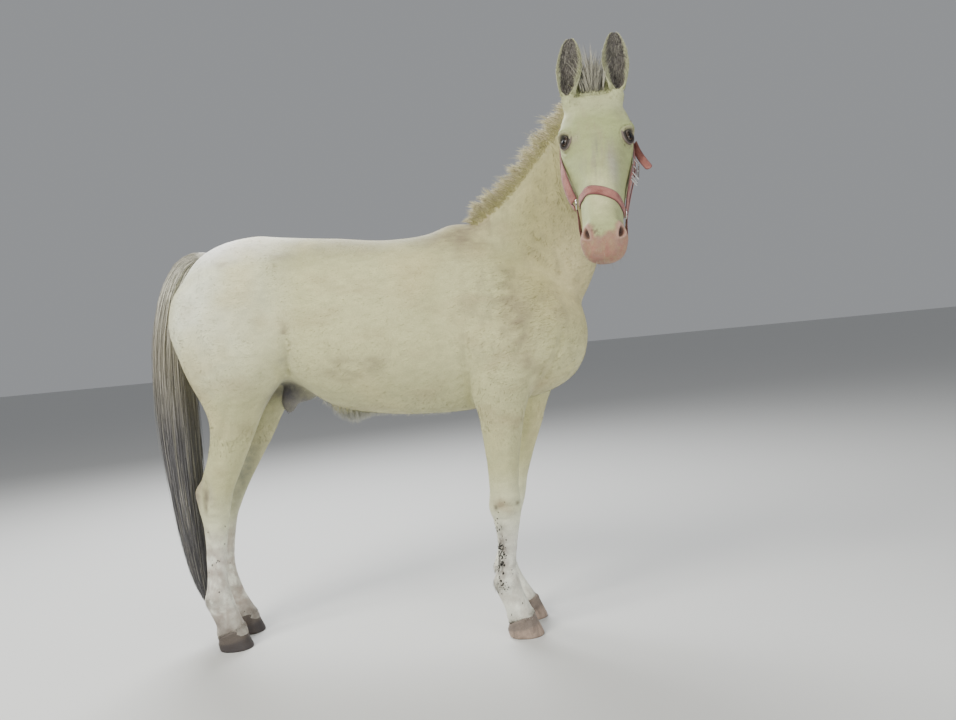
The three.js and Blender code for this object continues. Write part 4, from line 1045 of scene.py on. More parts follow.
class Skin:
    """The finished skin as arrays, for setting hair on it."""

    def __init__(self, obj):
        mesh = obj.data
        self.points = mesh_arrays(mesh)
        self.normals = vertex_normals(mesh)
        mesh.calc_loop_triangles()
        self.tri = read(mesh.loop_triangles, "vertices", 3, np.int64)
        loops = read(mesh.loop_triangles, "loops", 3, np.int64)
        self.uv = read(mesh.uv_layers["OFBake"].data, "uv", 2)[loops]
        a, b, c = (self.points[self.tri[:, k]] for k in range(3))
        self.area = np.linalg.norm(np.cross(b - a, c - a), axis=1) / 2
        self.centre = (a + b + c) / 3
        self.tree = BVHTree.FromPolygons(self.points.tolist(), self.tri.tolist())

    def scatter(self, count, weight, seed):
        """Random roots on the skin: places, normals and places on the map."""
        random = np.random.default_rng(seed)
        chance = self.area * weight
        chosen = random.choice(len(self.tri), count, p=chance / chance.sum())
        r = np.sqrt(random.random(count))
        q = random.random(count)
        w = np.stack([1 - r, r * (1 - q), r * q], axis=1)[..., None]
        return ((self.points[self.tri[chosen]] * w).sum(axis=1),
                unit((self.normals[self.tri[chosen]] * w).sum(axis=1)),
                (self.uv[chosen] * w).sum(axis=1))

    def map_place(self, points):
        """Places on the map of the parts of the skin nearest to points."""
        out = np.empty((len(points), 2))
        for k, p in enumerate(points):
            hit = self.tree.find_nearest(Vector(p))
            out[k] = self.uv[hit[2]].mean(axis=0)
        return out


def lie(points):
    """Direction in which the hair lies."""
    x, y, z = points.T
    way = plain((-1.0, 0.0, -0.35), len(points))
    way = mix(way, (-0.45, 0.35, -0.9), rise(x, 560, 160) * rise(z, 1120, 120))
    way = mix(way, (-0.12, 0.0, -1.0), fall(z, 900, 180) * (np.abs(y) > 12))
    down = head_way([1.0, 0.0, -0.15])
    return np.where(on_head(points, 0)[:, None], down, way)


def ruffle(points, size, seed):
    """A slow random turn of the lie of the coat, as a vector for each point."""
    return np.stack([cloud(points, size, seed + 10 * k) - 0.5 for k in range(3)], axis=1)


def fur(name, count, weight, length, width, lift, seed, steps=2):
    """Short tufts that follow the lie of the coat."""
    random = np.random.default_rng(seed)
    roots, normals, uv = body_map.scatter(count, weight, seed)
    way = unit(lie(roots)) + 1.1 * ruffle(roots, 48, 61) + 0.16 * random.normal(size=(count, 3))
    way = unit(way - normals * (way * normals).sum(axis=1, keepdims=True))
    long = length(roots) if callable(length) else np.full(count, float(length))
    long = long * (0.65 + 0.7 * random.random(count))
    across = np.cross(way, normals)
    t = shares(steps)
    stand = (lift * (0.4 + 1.2 * random.random(count)))[:, None, None]
    paths = (roots - normals * 0.8)[:, None, :] + long[:, None, None] * (
        t * way[:, None, :] + t * (1 - 0.5 * t) * normals[:, None, :] * stand)
    colours = paint(roots) * (0.88 + 0.24 * random.random((count, 1)))
    wide = width * (0.7 + 0.6 * random.random(count))
    return set_hair(name, "coat", paths, wide, across, colours, uv, flat=0.25)


# Materials

def material(name):
    mat = bpy.data.materials.new(name)
    mat.use_nodes = True
    nodes = mat.node_tree.nodes
    return mat, nodes, mat.node_tree.links, nodes["Principled BSDF"]


def new_node(nodes, kind, **values):
    """Shader node of a kind; a _ in the name of an input stands for a space."""
    node = nodes.new("ShaderNode" + kind)
    set_inputs(node, **values)
    return node


def set_inputs(node, **values):
    for name, value in values.items():
        node.inputs[name.replace("_", " ")].default_value = value


def noise_node(nodes, links, scale, detail=4, stretch=None):
    place = nodes.new("ShaderNodeTexCoord").outputs["Object"]
    tex = new_node(nodes, "TexNoise", Scale=scale, Detail=detail)
    if stretch:
        mapping = new_node(nodes, "Mapping", Scale=stretch)
        links.new(place, mapping.inputs["Vector"])
        place = mapping.outputs["Vector"]
    links.new(place, tex.inputs["Vector"])
    return tex


def add_bump(nodes, links, shader, height, strength, distance):
    bump = new_node(nodes, "Bump", Strength=strength, Distance=distance)
    links.new(height, bump.inputs["Height"])
    links.new(bump.outputs["Normal"], shader.inputs["Normal"])


def tinted(name, roughness, grain, low, high, bump=None, sheen=0.0):
    """Material that takes its colour from the painted tint, broken up by fine noise."""
    mat, nodes, links, shader = material(name)
    tint = nodes.new("ShaderNodeAttribute")
    tint.attribute_name = "tint"
    tex = noise_node(nodes, links, grain)
    light = new_node(nodes, "MapRange", From_Min=0.3, From_Max=0.7, To_Min=low, To_Max=high)
    links.new(tex.outputs["Fac"], light.inputs["Value"])
    scale = nodes.new("ShaderNodeVectorMath")
    scale.operation = "SCALE"
    links.new(tint.outputs["Color"], scale.inputs[0])
    links.new(light.outputs["Result"], scale.inputs["Scale"])
    links.new(scale.outputs["Vector"], shader.inputs["Base Color"])
    set_inputs(shader, Roughness=roughness, Specular_IOR_Level=0.25, Sheen_Weight=sheen, Sheen_Roughness=0.5)
    if bump:
        grain_scale, stretch, strength, distance = bump
        hairs = noise_node(nodes, links, grain_scale, 3, stretch)
        add_bump(nodes, links, shader, hairs.outputs["Fac"], strength, distance)
    return mat


def two_tones(nodes, links, scale, dark, pale, start=0.0, end=1.0):
    """Colour from fine noise, between a dark tone and a pale one."""
    tones = nodes.new("ShaderNodeValToRGB")
    for element, place, tone in zip(tones.color_ramp.elements, (start, end), (dark, pale)):
        element.position = place
        element.color = (*tone, 1)
    links.new(noise_node(nodes, links, scale).outputs["Fac"], tones.inputs["Fac"])
    return tones.outputs["Color"]


# Camera and light

CAMERA = {"place": (0.7424, -2.5301, 0.97), "turn": 7.087, "pitch": -1.222, "roll": 5.5, "lens": 28.24}

# Lights: place, what they aim at, size, power, colour
LIGHTS = [
    ("key", (-2.6, -3.0, 4.4), (0, 0, 0.9), 2.2, 338, (1.0, 0.98, 0.91)),
    ("fill", (3.4, -3.0, 1.8), (0.3, 0, 1.0), 2.5, 104, (0.98, 0.98, 0.96)),
    ("back", (-1.6, 2.8, 4.2), (-0.2, 0, 1.1), 2.5, 345, (0.97, 0.99, 1.0)),
]


def set_camera():
    data = bpy.data.cameras.new("camera")
    data.sensor_width = 36
    data.lens = CAMERA["lens"]
    camera = link_new("camera", data)
    a, p, r = (math.radians(CAMERA[k]) for k in ("turn", "pitch", "roll"))
    ahead = Vector((-math.sin(a) * math.cos(p), math.cos(a) * math.cos(p), math.sin(p)))
    right = ahead.cross(Vector((0, 0, 1))).normalized()
    up = right.cross(ahead)
    up, right = up * math.cos(r) + right * math.sin(r), right * math.cos(r) - up * math.sin(r)
    at = Vector(CAMERA["place"]) + Vector(SHIFT)
    for column, vector in enumerate((right, up, -ahead, at)):
        for row in range(3):
            camera.matrix_world[row][column] = vector[row]
    bpy.context.scene.camera = camera


def area_light(name, place, aim, size, power, colour):
    data = bpy.data.lights.new(name, "AREA")
    data.size = size
    data.energy = power
    data.color = colour
    lamp = link_new(name, data)
    lamp.location = place
    lamp.rotation_euler = (Vector(aim) - Vector(place)).to_track_quat("-Z", "Y").to_euler()


def set_stage():
    reach = 90
    mesh = bpy.data.meshes.new("floor")
    corners = [(-reach, -reach, 0), (reach, -reach, 0), (reach, reach, 0), (-reach, reach, 0)]
    mesh.from_pydata(corners, [], [(0, 1, 2, 3)])
    mat, _, _, shader = material("pale_floor")
    set_inputs(shader, Base_Color=(0.62, 0.62, 0.61, 1), Roughness=0.9)
    mesh.materials.append(mat)
    link_new("floor", mesh)
    world = bpy.data.worlds.new("studio")
    world.use_nodes = True
    set_inputs(world.node_tree.nodes["Background"], Color=(0.93, 0.96, 1.0, 1), Strength=0.33)
    bpy.context.scene.world = world
    for name, place, aim, size, power, colour in LIGHTS:
        area_light(name, place, aim, size, power, colour)


# Ears

# Colours of the ears; the depth tone is painted shade deep inside the cup
EAR = {
    "back": (0.47, 0.48, 0.30), "tip": (0.30, 0.27, 0.21), "dark": (0.075, 0.068, 0.064),
    "grey": (0.20, 0.18, 0.155), "pink": (0.26, 0.17, 0.145), "depth": (0.012, 0.011, 0.010),
    "hair": (0.50, 0.51, 0.34), "inner_hair": (0.25, 0.235, 0.20),
}


def ear_wall(t):
    return np.interp(t, [0, 0.1, 0.25, 0.5, 0.9, 1], [26, 9, 4.6, 3.4, 2.4, 1.5])


def ear_opening(opening):
    """How far round the cup its wall reaches, each way from the back."""
    return np.pi * (1 - np.clip(opening, 0, 0.6))


def ear_flare(theta, limit, t):
    return 1 + 0.10 * np.abs(theta / limit) ** 3 * np.clip(t * 2, 0, 1)


def make_ear(name):
    """Cup with an outer and an inner face, running into the skin at its root."""
    root, along, front, side = ear_frame(name)
    rings, inner_flags = [], []
    rows = smooth_rows(EAR_ROWS, np.linspace(1, len(EAR_ROWS) - 1, 64))
    n = 19
    for t, half, deep, opening in rows:
        limit = ear_opening(opening)
        theta = np.linspace(-limit, limit, n)
        centre = root + along * t - front * 4 * math.sin(math.pi * min(max(t, 0), 1)) ** 2
        flare = ear_flare(theta, limit, t)

        def face(inset):
            h, d = max(half - inset, 0.8), max(deep - inset, 0.8)
            return centre + side * (h * flare * np.sin(theta))[:, None] - front * (d * np.cos(theta))[:, None]
        outer, inner = face(0), face(ear_wall(t))
        blend = fall(t, 0.13, 0.15)
        blend = blend * blend * (3 - 2 * blend)
        for k in range(n if blend > 0 else 0):
            place, normal, _, _ = body_map.tree.find_nearest(Vector(outer[k]))
            outer[k] += blend * (np.array(place) - 0.4 * np.array(normal) - outer[k])
        edge = rise(np.abs(theta) / limit, 0.86, 0.14)[:, None]
        inner = inner + (outer - inner) * 0.35 * edge
        rings.append(np.concatenate([outer, inner[::-1]]))
        inner_flags.append(np.concatenate([np.zeros(n), 1 - edge[::-1, 0]]))
    verts, faces = tube(rings)
    ear = new_object("ear_cup_" + name, verts, faces)
    flags = np.concatenate(inner_flags)
    share = np.repeat(rows[:, 0], 2 * n)
    outside = mix(paint(verts), EAR["back"], 0.85 * np.clip(share * 5, 0, 1))
    outside = mix(outside, EAR["tip"], 0.35 * np.clip((share - 0.9) * 8, 0, 1))
    inside = mix(plain(EAR["dark"], len(verts)), EAR["grey"], cloud(verts, 14, 21) * 0.6)
    inside = mix(inside, EAR["pink"], 0.4 * cloud(verts, 30, 22) * np.clip(1 - share * 1.6, 0, 1))
    # painted shade deep in the cup, round the way into the ear
    slot = root + along * 0.16 - side * (5 if name == "right" else -5)
    inside = mix(inside, EAR["depth"], 0.9 * near(verts, slot, (15, 26, 52)))
    set_colours(ear.data, outside * (1 - flags[:, None]) + inside * flags[:, None])
    unwrap(ear)
    place_piece(ear, skin_look, "coat", "ear_" + name)


def ear_hair(name, seed):
    """Cream hair along both edges of the cup, grey hair inside it and short hair on its back."""
    root, along, front, side = ear_frame(name)
    random = np.random.default_rng(seed)
    count = 3600
    t = 0.02 + 0.96 * random.random(count) ** 1.25
    rows = smooth_rows(EAR_ROWS, np.interp(t, EAR_ROWS[:, 0], np.arange(len(EAR_ROWS))))
    half, deep, opening = rows[:, 1], rows[:, 2], rows[:, 3]
    limit = ear_opening(opening)
    kind = random.random(count)
    edge = kind < 0.45
    inner = (kind >= 0.45) & (kind < 0.62)
    theta = limit * np.where(edge, random.choice([-1, 1], count) * random.uniform(0.88, 1.0, count),
                             random.uniform(-1, 1, count))
    sink = np.where(inner, ear_wall(t) + 0.5, 0.5)
    out = side * np.sin(theta)[:, None] - front * np.cos(theta)[:, None]
    flare = ear_flare(theta, limit, t)
    foot = (root + along * t[:, None] + side * ((half - sink) * flare * np.sin(theta))[:, None]
            - front * ((deep - sink) * np.cos(theta) + 4 * np.sin(np.pi * t) ** 2)[:, None])
    tipward = unit(along)
    long = np.where(edge, random.uniform(8, 20, count), random.uniform(6, 11, count))
    long *= np.where(inner, 2.0, 1.0) * np.clip((1.1 - t) * 2.2, 0.35, 1) * np.clip(t * 3.5, 0.3, 1)
    way = np.where(edge[:, None], tipward - 0.50 * out + 0.30 * front,
                   np.where(inner[:, None], 0.9 * tipward - 0.4 * out + 0.35 * front, tipward + 0.08 * out))
    way = unit(way + 0.20 * random.normal(size=(count, 3)))
    u = shares(4)
    bend = (front * 0.25 - out * 0.2) * np.where(edge, 0.8, 0.25)[:, None]
    paths = foot[:, None] + long[:, None, None] * (u * way[:, None] + u ** 2 * bend[:, None])
    colours = mix(paint(foot), EAR["hair"], 0.85 * np.clip(t * 5, 0, 1))
    colours = colours * (0.9 + 0.25 * random.random((count, 1)))
    grey = np.array(EAR["inner_hair"]) * (0.5 + 0.9 * random.random((count, 1)))
    colours = np.where(inner[:, None], grey, colours)
    widths = random.uniform(0.9, 2.0, count)
    set_hair("ear_hair_" + name, "coat", paths, widths, np.cross(way, out), colours)


# Eyes

EYE = {
    "iris": (0.022, 0.012, 0.008), "ring": (0.045, 0.025, 0.014), "pupil": (0.003, 0.004, 0.006),
    "rim": (0.010, 0.007, 0.006), "white": (0.030, 0.020, 0.018),
}


def make_eye(name, side):
    """Ball with a dark brown iris, a level pupil and a raised cornea."""
    out, along, across = eye_frame(side)
    n = 48
    _, level, upright = circle(n)
    rings, colours = [], []
    for polar in np.linspace(0.015, np.pi - 0.02, 44):
        radius = EYE_RADIUS - 0.4 + 1.3 * math.exp(-(polar / 0.62) ** 4)
        a, b = level * math.sin(polar), upright * math.sin(polar)
        local = EYES[side] + radius * (a[:, None] * along + b[:, None] * across + math.cos(polar) * out)
        rings.append(from_head(local))
        pupil = np.exp(-(np.abs(a / 0.40) ** 4 + np.abs(b / 0.20) ** 4))
        tone = plain(EYE["iris"], n)
        for shade, share in (("ring", 0.7 * np.exp(-((polar - 0.52) / 0.16) ** 2)),
                             ("pupil", np.clip(pupil * 1.6, 0, 1)),
                             ("rim", rise(polar, 0.68, 0.1)),
                             ("white", rise(polar, 1.02, 0.15))):
            tone = mix(tone, EYE[shade], share * np.ones(n))
        colours.append(tone)
    eye = new_object("eye_ball_" + name, *tube(rings))
    set_colours(eye.data, np.concatenate(colours))
    place_piece(eye, eye_look, "eye", "eye_" + name)


def lid_edge(side, around, stand):
    """Points of the lids' edge on the ball, as an almond with its inner corner drawn down."""
    out, along, across = eye_frame(side)
    across = across * side
    c, s = np.cos(around), np.sin(around)
    a = OPENING[0] * np.sign(c) * np.abs(c) ** 0.92 + 1.5 * (c > 0) * c
    b = np.where(s > 0, OPENING[1], OPENING[1] - 1.5) * s * (1 - 0.12 * c)
    depth = np.sqrt(np.maximum((EYE_RADIUS + stand) ** 2 - a * a - b * b, 12))
    points = EYES[side] + a[:, None] * along + b[:, None] * across + depth[:, None] * out
    return points, unit(a[:, None] * along + b[:, None] * across), out


def make_lids():
    """Rims of the lids round each eye, dark at the edge, with lashes on the upper lid."""
    parts, tones, lashes = [], [], []
    random = np.random.default_rng(31)
    n, m, count, steps = 80, 12, 60, 5
    around, turn = circle(n)[0], circle(m)[0]
    for side in (1, -1):
        centre, outward, out = lid_edge(side, around, 0.8)
        upper = np.clip(np.sin(around), 0, 1)[:, None]
        wide, thick = 4.2 + 2.0 * upper, 1.9 + 1.2 * upper
        lift = unit(out + 0.6 * outward)
        grid = np.stack([centre + outward * wide * (0.95 - math.cos(a)) + lift * thick * math.sin(a)
                         - out * 0.35 * wide * (0.95 - math.cos(a)) for a in turn], axis=1)
        verts, faces = from_head(grid.reshape(-1, 3)), closed_net(n, m)
        if side > 0:
            faces = [tuple(reversed(f)) for f in faces]
        parts.append((verts, faces))
        tone = plain((0.17, 0.135, 0.115), n * m) * (0.75 + 0.5 * cloud(verts, 7, 23))[:, None]
        tones.append(mix(tone, (0.03, 0.024, 0.022), np.tile(np.clip(np.cos(turn) * 2.2 + 0.9, 0, 1), n)))
        spots = random.uniform(0.10, 0.90, count) * np.pi
        foot, outward, out = lid_edge(side, spots, 2.8)
        way = unit(out + 0.15 * outward + [0.45, 0, -0.25] + 0.12 * random.normal(size=(count, 3)))
        t = shares(steps)
        long = random.uniform(4, 8, count)[:, None, None]
        lashes.append(foot[:, None] + long * (t * way[:, None] - 0.25 * t * t * outward[:, None]))
    lids = new_object("eyelids", *join(parts))
    set_colours(lids.data, np.concatenate(tones))
    unwrap(lids)
    place_piece(lids, skin_look, "coat")
    paths = from_head(np.concatenate(lashes).reshape(-1, 3)).reshape(-1, steps, 3)
    total = len(paths)
    tone = plain((0.13, 0.11, 0.095), total) * random.uniform(0.5, 2.4, (total, 1))
    set_hair("lashes", "coat", paths, np.full(total, 0.6), plain(UP, total), tone, flat=0.35)


# Hooves

HOOF = {"length": 116, "width": 96, "toe": 78, "heel": 42, "toe_slope": 30, "heel_slope": 12, "inset": 6}
# Rings of the horn from the sole up: share of the height, how far they stand in
HORN_RINGS = [
    (0, 12), (0.0, 3.0), (0.03, 1.0), (0.08, 0.2), (0.15, 0), (0.22, 0.6), (0.29, 0.1), (0.36, 0.8),
    (0.43, 0.2), (0.50, 0.9), (0.57, 0.3), (0.64, 1.0), (0.71, 0.5), (0.78, 0.9), (0.85, -0.4),
    (0.92, -0.8), (0.97, 0.8), (1.0, 5.0),
]
HORN = {
    "fore": (0.44, 0.33, 0.26), "hind": (0.105, 0.092, 0.092), "streak": (0.14, 0.11, 0.095),
    "top": (0.20, 0.165, 0.14), "dirt": (0.09, 0.07, 0.058), "sole": (0.11, 0.09, 0.075),
}


def hoof_sides(name, angle):
    """Middle of a hoof, and for each angle its place ahead, sideways and to the toe, and its height."""
    table, side, shifts = LEGS[name]
    z, front, rear, out, _ = table[-1]
    middle = (front + rear) / 2 + float(shift_at(shifts, z)) + 6, out * side
    c, s = np.cos(angle), np.sin(angle)
    ahead = np.where(c >= 0, c, -(np.abs(c) ** 0.7))
    toeward = (c + 1) / 2
    return middle, ahead, s, toeward, HOOF["heel"] + toeward * (HOOF["toe"] - HOOF["heel"])


def make_hoof(name):
    """Horn capsule with a worn ground edge, growth rings and a soft coronet band."""
    n = 72
    angle = circle(n)[0]
    middle, ahead, s, toeward, height = hoof_sides(name, angle)
    fore = "front" in name
    rings, tints = [], []
    for level, inset in HORN_RINGS:
        slope = level * (toeward * HOOF["toe_slope"] + (1 - toeward) * HOOF["heel_slope"])
        tuck = (1 - toeward) * 17 * rise(level, 0.45, 0.55) ** 1.5
        x = middle[0] + ahead * (HOOF["length"] / 2 - inset - tuck) - slope
        y = middle[1] + s * (HOOF["width"] / 2 - level * HOOF["inset"] - inset)
        points = np.stack([x, y, level * height * 0.985], axis=1)
        points[:, 2] += 1.2 * np.sin(3 * angle + level * 5) * (0.1 < level < 0.9)
        rings.append(points)
        tone = plain(HORN["fore" if fore else "hind"], n)
        streak = cloud(points * [1, 1, 0.15], 7, 37)
        for shade, share in (("streak", 0.65 * np.clip(streak * 2.6 - 1.1, 0, 1)),
                             ("top", 0.8 * rise(level, 0.42, 0.14)),
                             ("dirt", 0.7 * np.clip(cloud(points, 20, 33) * 3 - 1.6, 0, 1)),
                             ("sole", 0.75 * (level < 0.02))):
            tone = mix(tone, HORN[shade], share * np.ones(n))
        tints.append(tone * (0.88 if fore else 0.62))
    hoof = new_object("horn_" + name, *tube(rings))
    set_colours(hoof.data, np.concatenate(tints))
    place_piece(hoof, hoof_look, "hoof", "hoof_" + name)


def coronet_hair():
    """Short hair that falls over the top of each hoof."""
    random = np.random.default_rng(91)
    each = 760
    feet, ways = [], []
    for name in LEGS:
        angle = random.uniform(0, 2 * np.pi, each)
        middle, ahead, s, toeward, height = hoof_sides(name, angle)
        level = random.uniform(0.96, 1.16, each)
        x = (middle[0] + ahead * (HOOF["length"] / 2 - 4)
             - toeward * HOOF["toe_slope"] - (1 - toeward) * HOOF["heel_slope"])
        feet.append(np.stack([x, middle[1] + s * (HOOF["width"] / 2 - 9), level * height], axis=1))
        ways.append(np.stack([0.42 + 0.35 * ahead, 0.35 * s, np.full(each, -1.0)], axis=1))
    count = len(LEGS) * each
    foot, way = on_skin(np.concatenate(feet), np.ones(count, bool)), unit(np.concatenate(ways))
    way = unit(way + 0.14 * random.normal(size=(count, 3)))
    paths = foot[:, None] + random.uniform(7, 15, count)[:, None, None] * shares(3) * way[:, None]
    tone = paint(foot + [0, 0, 12]) * random.uniform(0.75, 1.2, (count, 1))
    set_hair("coronet_hair", "coat", paths, random.uniform(1.2, 2.2, count), np.cross(way, UP), tone)


# Long hair

def tail_frame(rows):
    at = smooth_rows(TAIL, rows)
    ahead = smooth_rows(TAIL, np.minimum(rows + 0.1, len(TAIL) - 1))[:, :2] - smooth_rows(
        TAIL, np.maximum(rows - 0.1, 0))[:, :2]
    up = unit(np.stack([-ahead[:, 1], np.zeros(len(rows)), ahead[:, 0]], axis=1))
    return np.stack([at[:, 0], np.zeros(len(rows)), at[:, 1]], axis=1), up, at[:, 2], at[:, 3]


def tail_colour(points):
    z = points[:, 2]
    tone = mix(plain((0.40, 0.37, 0.30), len(points)), (0.66, 0.64, 0.55), 0.9 * rise(z, 1050, 180))
    return mix(tone, (0.137, 0.133, 0.142), 0.95 * fall(z, 1040, 300))


def make_dock():
    """Dark core of the tail, under its hair."""
    rows = np.arange(0, 6.6, 0.1)
    centre, up, deep, half = tail_frame(rows)
    fade = np.interp(rows, [0, 5, 6.5], [0.8, 0.7, 0.25])
    dock = new_object("dock", *tube([ring(c, u, SIDE, d * f, d * f, h * f, 2, 2, 28)
                                     for c, u, d, h, f in zip(centre, up, deep, half, fade)]))
    set_colours(dock.data, tail_colour(mesh_arrays(dock.data)) * 0.75)
    unwrap(dock)
    place_piece(dock, hair_look, "hair", "tail")


def make_tail(part, seed):
    """One depth of the tail's hair: long locks in clumps, with a few stray ones."""
    random = np.random.default_rng(seed)
    count, steps = 2500, 12
    high = random.random(count) < 0.45
    root = np.where(high, random.uniform(0.9, 3.2, count), random.uniform(3, 6.0, count))
    tip = np.clip(root + random.uniform(3.8, 7.5, count), 6.0, 12.0)
    tip = np.where(root > 3.6, random.uniform(9.0, 12.0, count), tip)
    angle = random.uniform(0, 2 * np.pi, count)
    clump = np.round(angle / 0.23) * 0.23 + 0.06 * np.sin(7 * angle)
    inner = part == "inner"
    radius = np.sqrt(random.uniform(0.1, 1, count)) if inner else random.uniform(0.84, 1.03, count)
    stray = np.where(random.random(count) < 0.10, random.uniform(0.05, 0.24, count), 0)
    phase = random.uniform(0, 2 * np.pi, count)
    paths = np.empty((count, steps, 3))
    for k, t in enumerate(np.linspace(0, 1, steps)):
        centre, up, deep, half = tail_frame(root + (tip - root) * t)
        turn = angle + (clump - angle) * min(t * 1.2, 0.6) + 0.10 * np.sin(3 * t + 6 * radius + seed)
        size = radius * (0.78 + 0.22 * min(t * 6, 1)) + 0.035 * np.sin(9 * t + phase) + stray * t * t
        wisp = max(t - 0.75, 0) * 26
        sideways = half * size * np.cos(turn) + wisp * np.sin(phase)
        upwards = deep * size * np.sin(turn) + wisp * np.cos(phase)
        paths[:, k] = centre + SIDE * sideways[:, None] + up * upwards[:, None]
    across = np.stack([np.cos(angle), -np.sin(angle), np.zeros(count)], axis=1)
    tone = tail_colour(paths.reshape(-1, 3)).reshape(count, steps, 3)
    tone = tone * (0.60 + 0.80 * random.random((count, 1, 1)))
    pale = random.random((count, 1, 1)) < 0.16
    tone = np.where(pale, tone * 0.4 + 0.6 * np.array([0.55, 0.52, 0.44]), tone)
    profile = np.interp(np.linspace(0, 1, steps), [0, 0.2, 0.75, 1], [0.7, 1, 0.8, 0])
    widths = random.uniform(1.5, 3.2, count)
    set_hair("tail_hair_" + part, "hair", paths, widths, across, by_ring(tone), None, profile, 0.35)


def crest_frame(t):
    at = smooth_rows(NECK, t)[:, :3]
    ahead = unit(smooth_rows(NECK, t + 0.05)[:, :3] - smooth_rows(NECK, t - 0.05)[:, :3])
    stand = np.array([-0.1, 0.25, 1.0])
    up = unit(stand - ahead * (ahead @ stand)[:, None])
    return at, ahead, up, unit(np.cross(ahead, up))


def on_skin(points, chosen):
    """The chosen points moved to the skin nearest to them, a little under its surface."""
    for k in np.flatnonzero(chosen):
        place, normal, _, _ = body_map.tree.find_nearest(Vector(points[k]))
        points[k] = np.array(place) - 1.2 * np.array(normal)
    return points


def make_mane():
    """Short mane that stands along the crest and leans back, in loose clumps."""
    random = np.random.default_rng(51)
    count = 7100
    t = random.uniform(0.75, 5.75, count)
    at, ahead, up, side = crest_frame(t)
    flank = random.random(count) < 0.36
    beside = random.choice([-1, 1], count) * random.uniform(8, 40, count)
    spread = np.where(flank, beside, random.normal(0, 9, count))
    drop = 5 + np.interp(np.abs(spread), [0, 10, 20, 30, 40], [0, 4.1, 12.6, 24, 38])
    foot = on_skin(at - up * drop[:, None] + side * spread[:, None], np.abs(spread) > 7)
    clump = 0.5 * np.sin(t * 19 + 0.05 * spread) + 0.5 * np.sin(t * 47 + 1)
    long = (72 + 12 * np.sin(t * 11)) * np.interp(t, [0.75, 1.6, 4.8, 5.6], [0.5, 1, 1, 0.75])
    long *= (1 - 0.60 * random.random(count) ** 1.6) * np.interp(np.abs(spread), [8, 22, 40], [1, 0.62, 0.34])
    back = 0.40 + 0.20 * clump + 0.12 * random.normal(size=count)
    sway = np.where(flank, 0.006, 0.026) * spread + 0.14 * np.sin(t * 31) + 0.12 * random.normal(size=count)
    u = shares(6)
    paths = foot[:, None] + long[:, None, None] * (
        up[:, None] * u * (1 - 0.15 * u) - ahead[:, None] * back[:, None, None] * u ** 1.6
        + side[:, None] * sway[:, None, None] * u ** 1.5)
    tone = mix(plain((0.56, 0.49, 0.34), count), CREAM, 0.7 * random.random(count))
    tone = mix(tone, (0.20, 0.165, 0.12), 0.75 * (random.random(count) < 0.18 + 0.16 * clump))
    tone = mix(tone, NECK_CREAM, rise(np.abs(spread), 10, 14))
    # roots painted up to 1.9 times lighter, painted light against the shade among the packed roots
    fade = np.interp(u, [0, 0.35, 1], [1.9, 1.25, 1.0])
    shades = by_ring(np.clip(tone[:, None] * fade, 0, 0.9))
    set_hair("mane_hair", "hair", paths, random.uniform(1.0, 2.3, count), ahead, shades)


def make_forelock():
    """Thin upright forelock, with shorter cream hair beside it that fills the poll."""
    random = np.random.default_rng(61)
    count, fill = 430, 1500
    across = np.concatenate([np.clip(random.normal(0, 0.5, count), -1, 1),
                             np.clip(random.normal(0, 0.8, fill), -1.5, 1.5)])
    low = np.arange(count + fill) >= count
    total = count + fill
    s = np.where(low, 50 * random.random(total) ** 1.6 - 18, random.uniform(-8, 16, total))
    sunk = np.interp(s, [-18, 0, 30, 58], [22, 9, 2, 0.5]) + 0.5
    foot = from_head(np.stack([s, across * 31, -sunk - 9 * np.maximum(np.abs(across) - 1, 0)], axis=1))
    foot = on_skin(foot, low)
    side, ahead = head_way([0, 1, 0]), head_way([0, 0, 1])
    short = random.uniform(0.6, 1.3, total) * np.interp(s, [-18, 4, 18, 32], [50, 36, 14, 5])
    tall = 142 * (1 - 0.35 * np.abs(across)) * (1 - 0.66 * random.random(total) ** 1.2)
    long = np.where(low, short, tall)
    fan = np.where(low, 0.30, 0.32) * across + 0.10 * np.sin(17 * across) + 0.13 * random.normal(size=total)
    lean = 0.10 + 0.14 * random.normal(size=total)
    u = shares(6)
    paths = foot[:, None] + long[:, None, None] * (
        UP * u + side * fan[:, None, None] * u ** 1.5 + ahead * (lean[:, None, None] * u - 0.25 * u ** 2))
    tone = plain((0.38, 0.36, 0.29), total)
    tone = mix(tone, (0.56, 0.54, 0.42), np.where(low, 0.7, 0.5) * random.random(total))
    dark = np.where(low, 0.62 * np.exp(-((s - 2) / 18) ** 2 - (across / 0.9) ** 4), 0.36)
    tone = mix(tone, (0.13, 0.125, 0.115), 0.85 * (random.random(total) < dark))
    beside_it = rise(s, 8, 12) + np.clip(np.abs(across) * 2 - 1.4, 0, 1)
    # fill hair beside the forelock takes the skin's colour made 1.2 times lighter, painted light against its
    # own shade
    tone = np.where(low[:, None], mix(tone, 1.2 * paint(foot), np.clip(beside_it, 0, 1)), tone)
    set_hair("forelock_hair", "hair", paths, random.uniform(0.9, 1.9, total), plain(side, total), tone)


def make_belly_hair():
    """Ragged cream hair that hangs under the belly and from the sheath."""
    random = np.random.default_rng(71)
    count = 1250
    x = np.where(random.random(count) < 0.6, random.normal(-22, 52, count), random.uniform(-130, 330, count))
    y = random.normal(0, 34, count)
    roots = np.array([body_map.tree.ray_cast(Vector((*at, 500)), Vector(UP))[0] for at in zip(x, y)])
    close = np.exp(-((x + 22) / 82) ** 2)
    long = random.uniform(7, 13, count) + close * random.uniform(2, 19, count)
    u = shares(5)
    lean = np.stack([-0.7 + 0.9 * close + 0.25 * random.normal(size=count), 0.3 * random.normal(size=count),
                     -0.35 - 0.6 * close], axis=1)
    paths = roots[:, None] + long[:, None, None] * (lean[:, None] * u - UP * 0.5 * u ** 2)
    tone = mix(plain((0.66, 0.66, 0.58), count), (0.27, 0.26, 0.22), 0.5 * random.random(count))
    set_hair("belly_hair", "coat", paths, random.uniform(1.2, 2.4, count), plain(SIDE, count), tone)


# Halter: straps laid on the skin

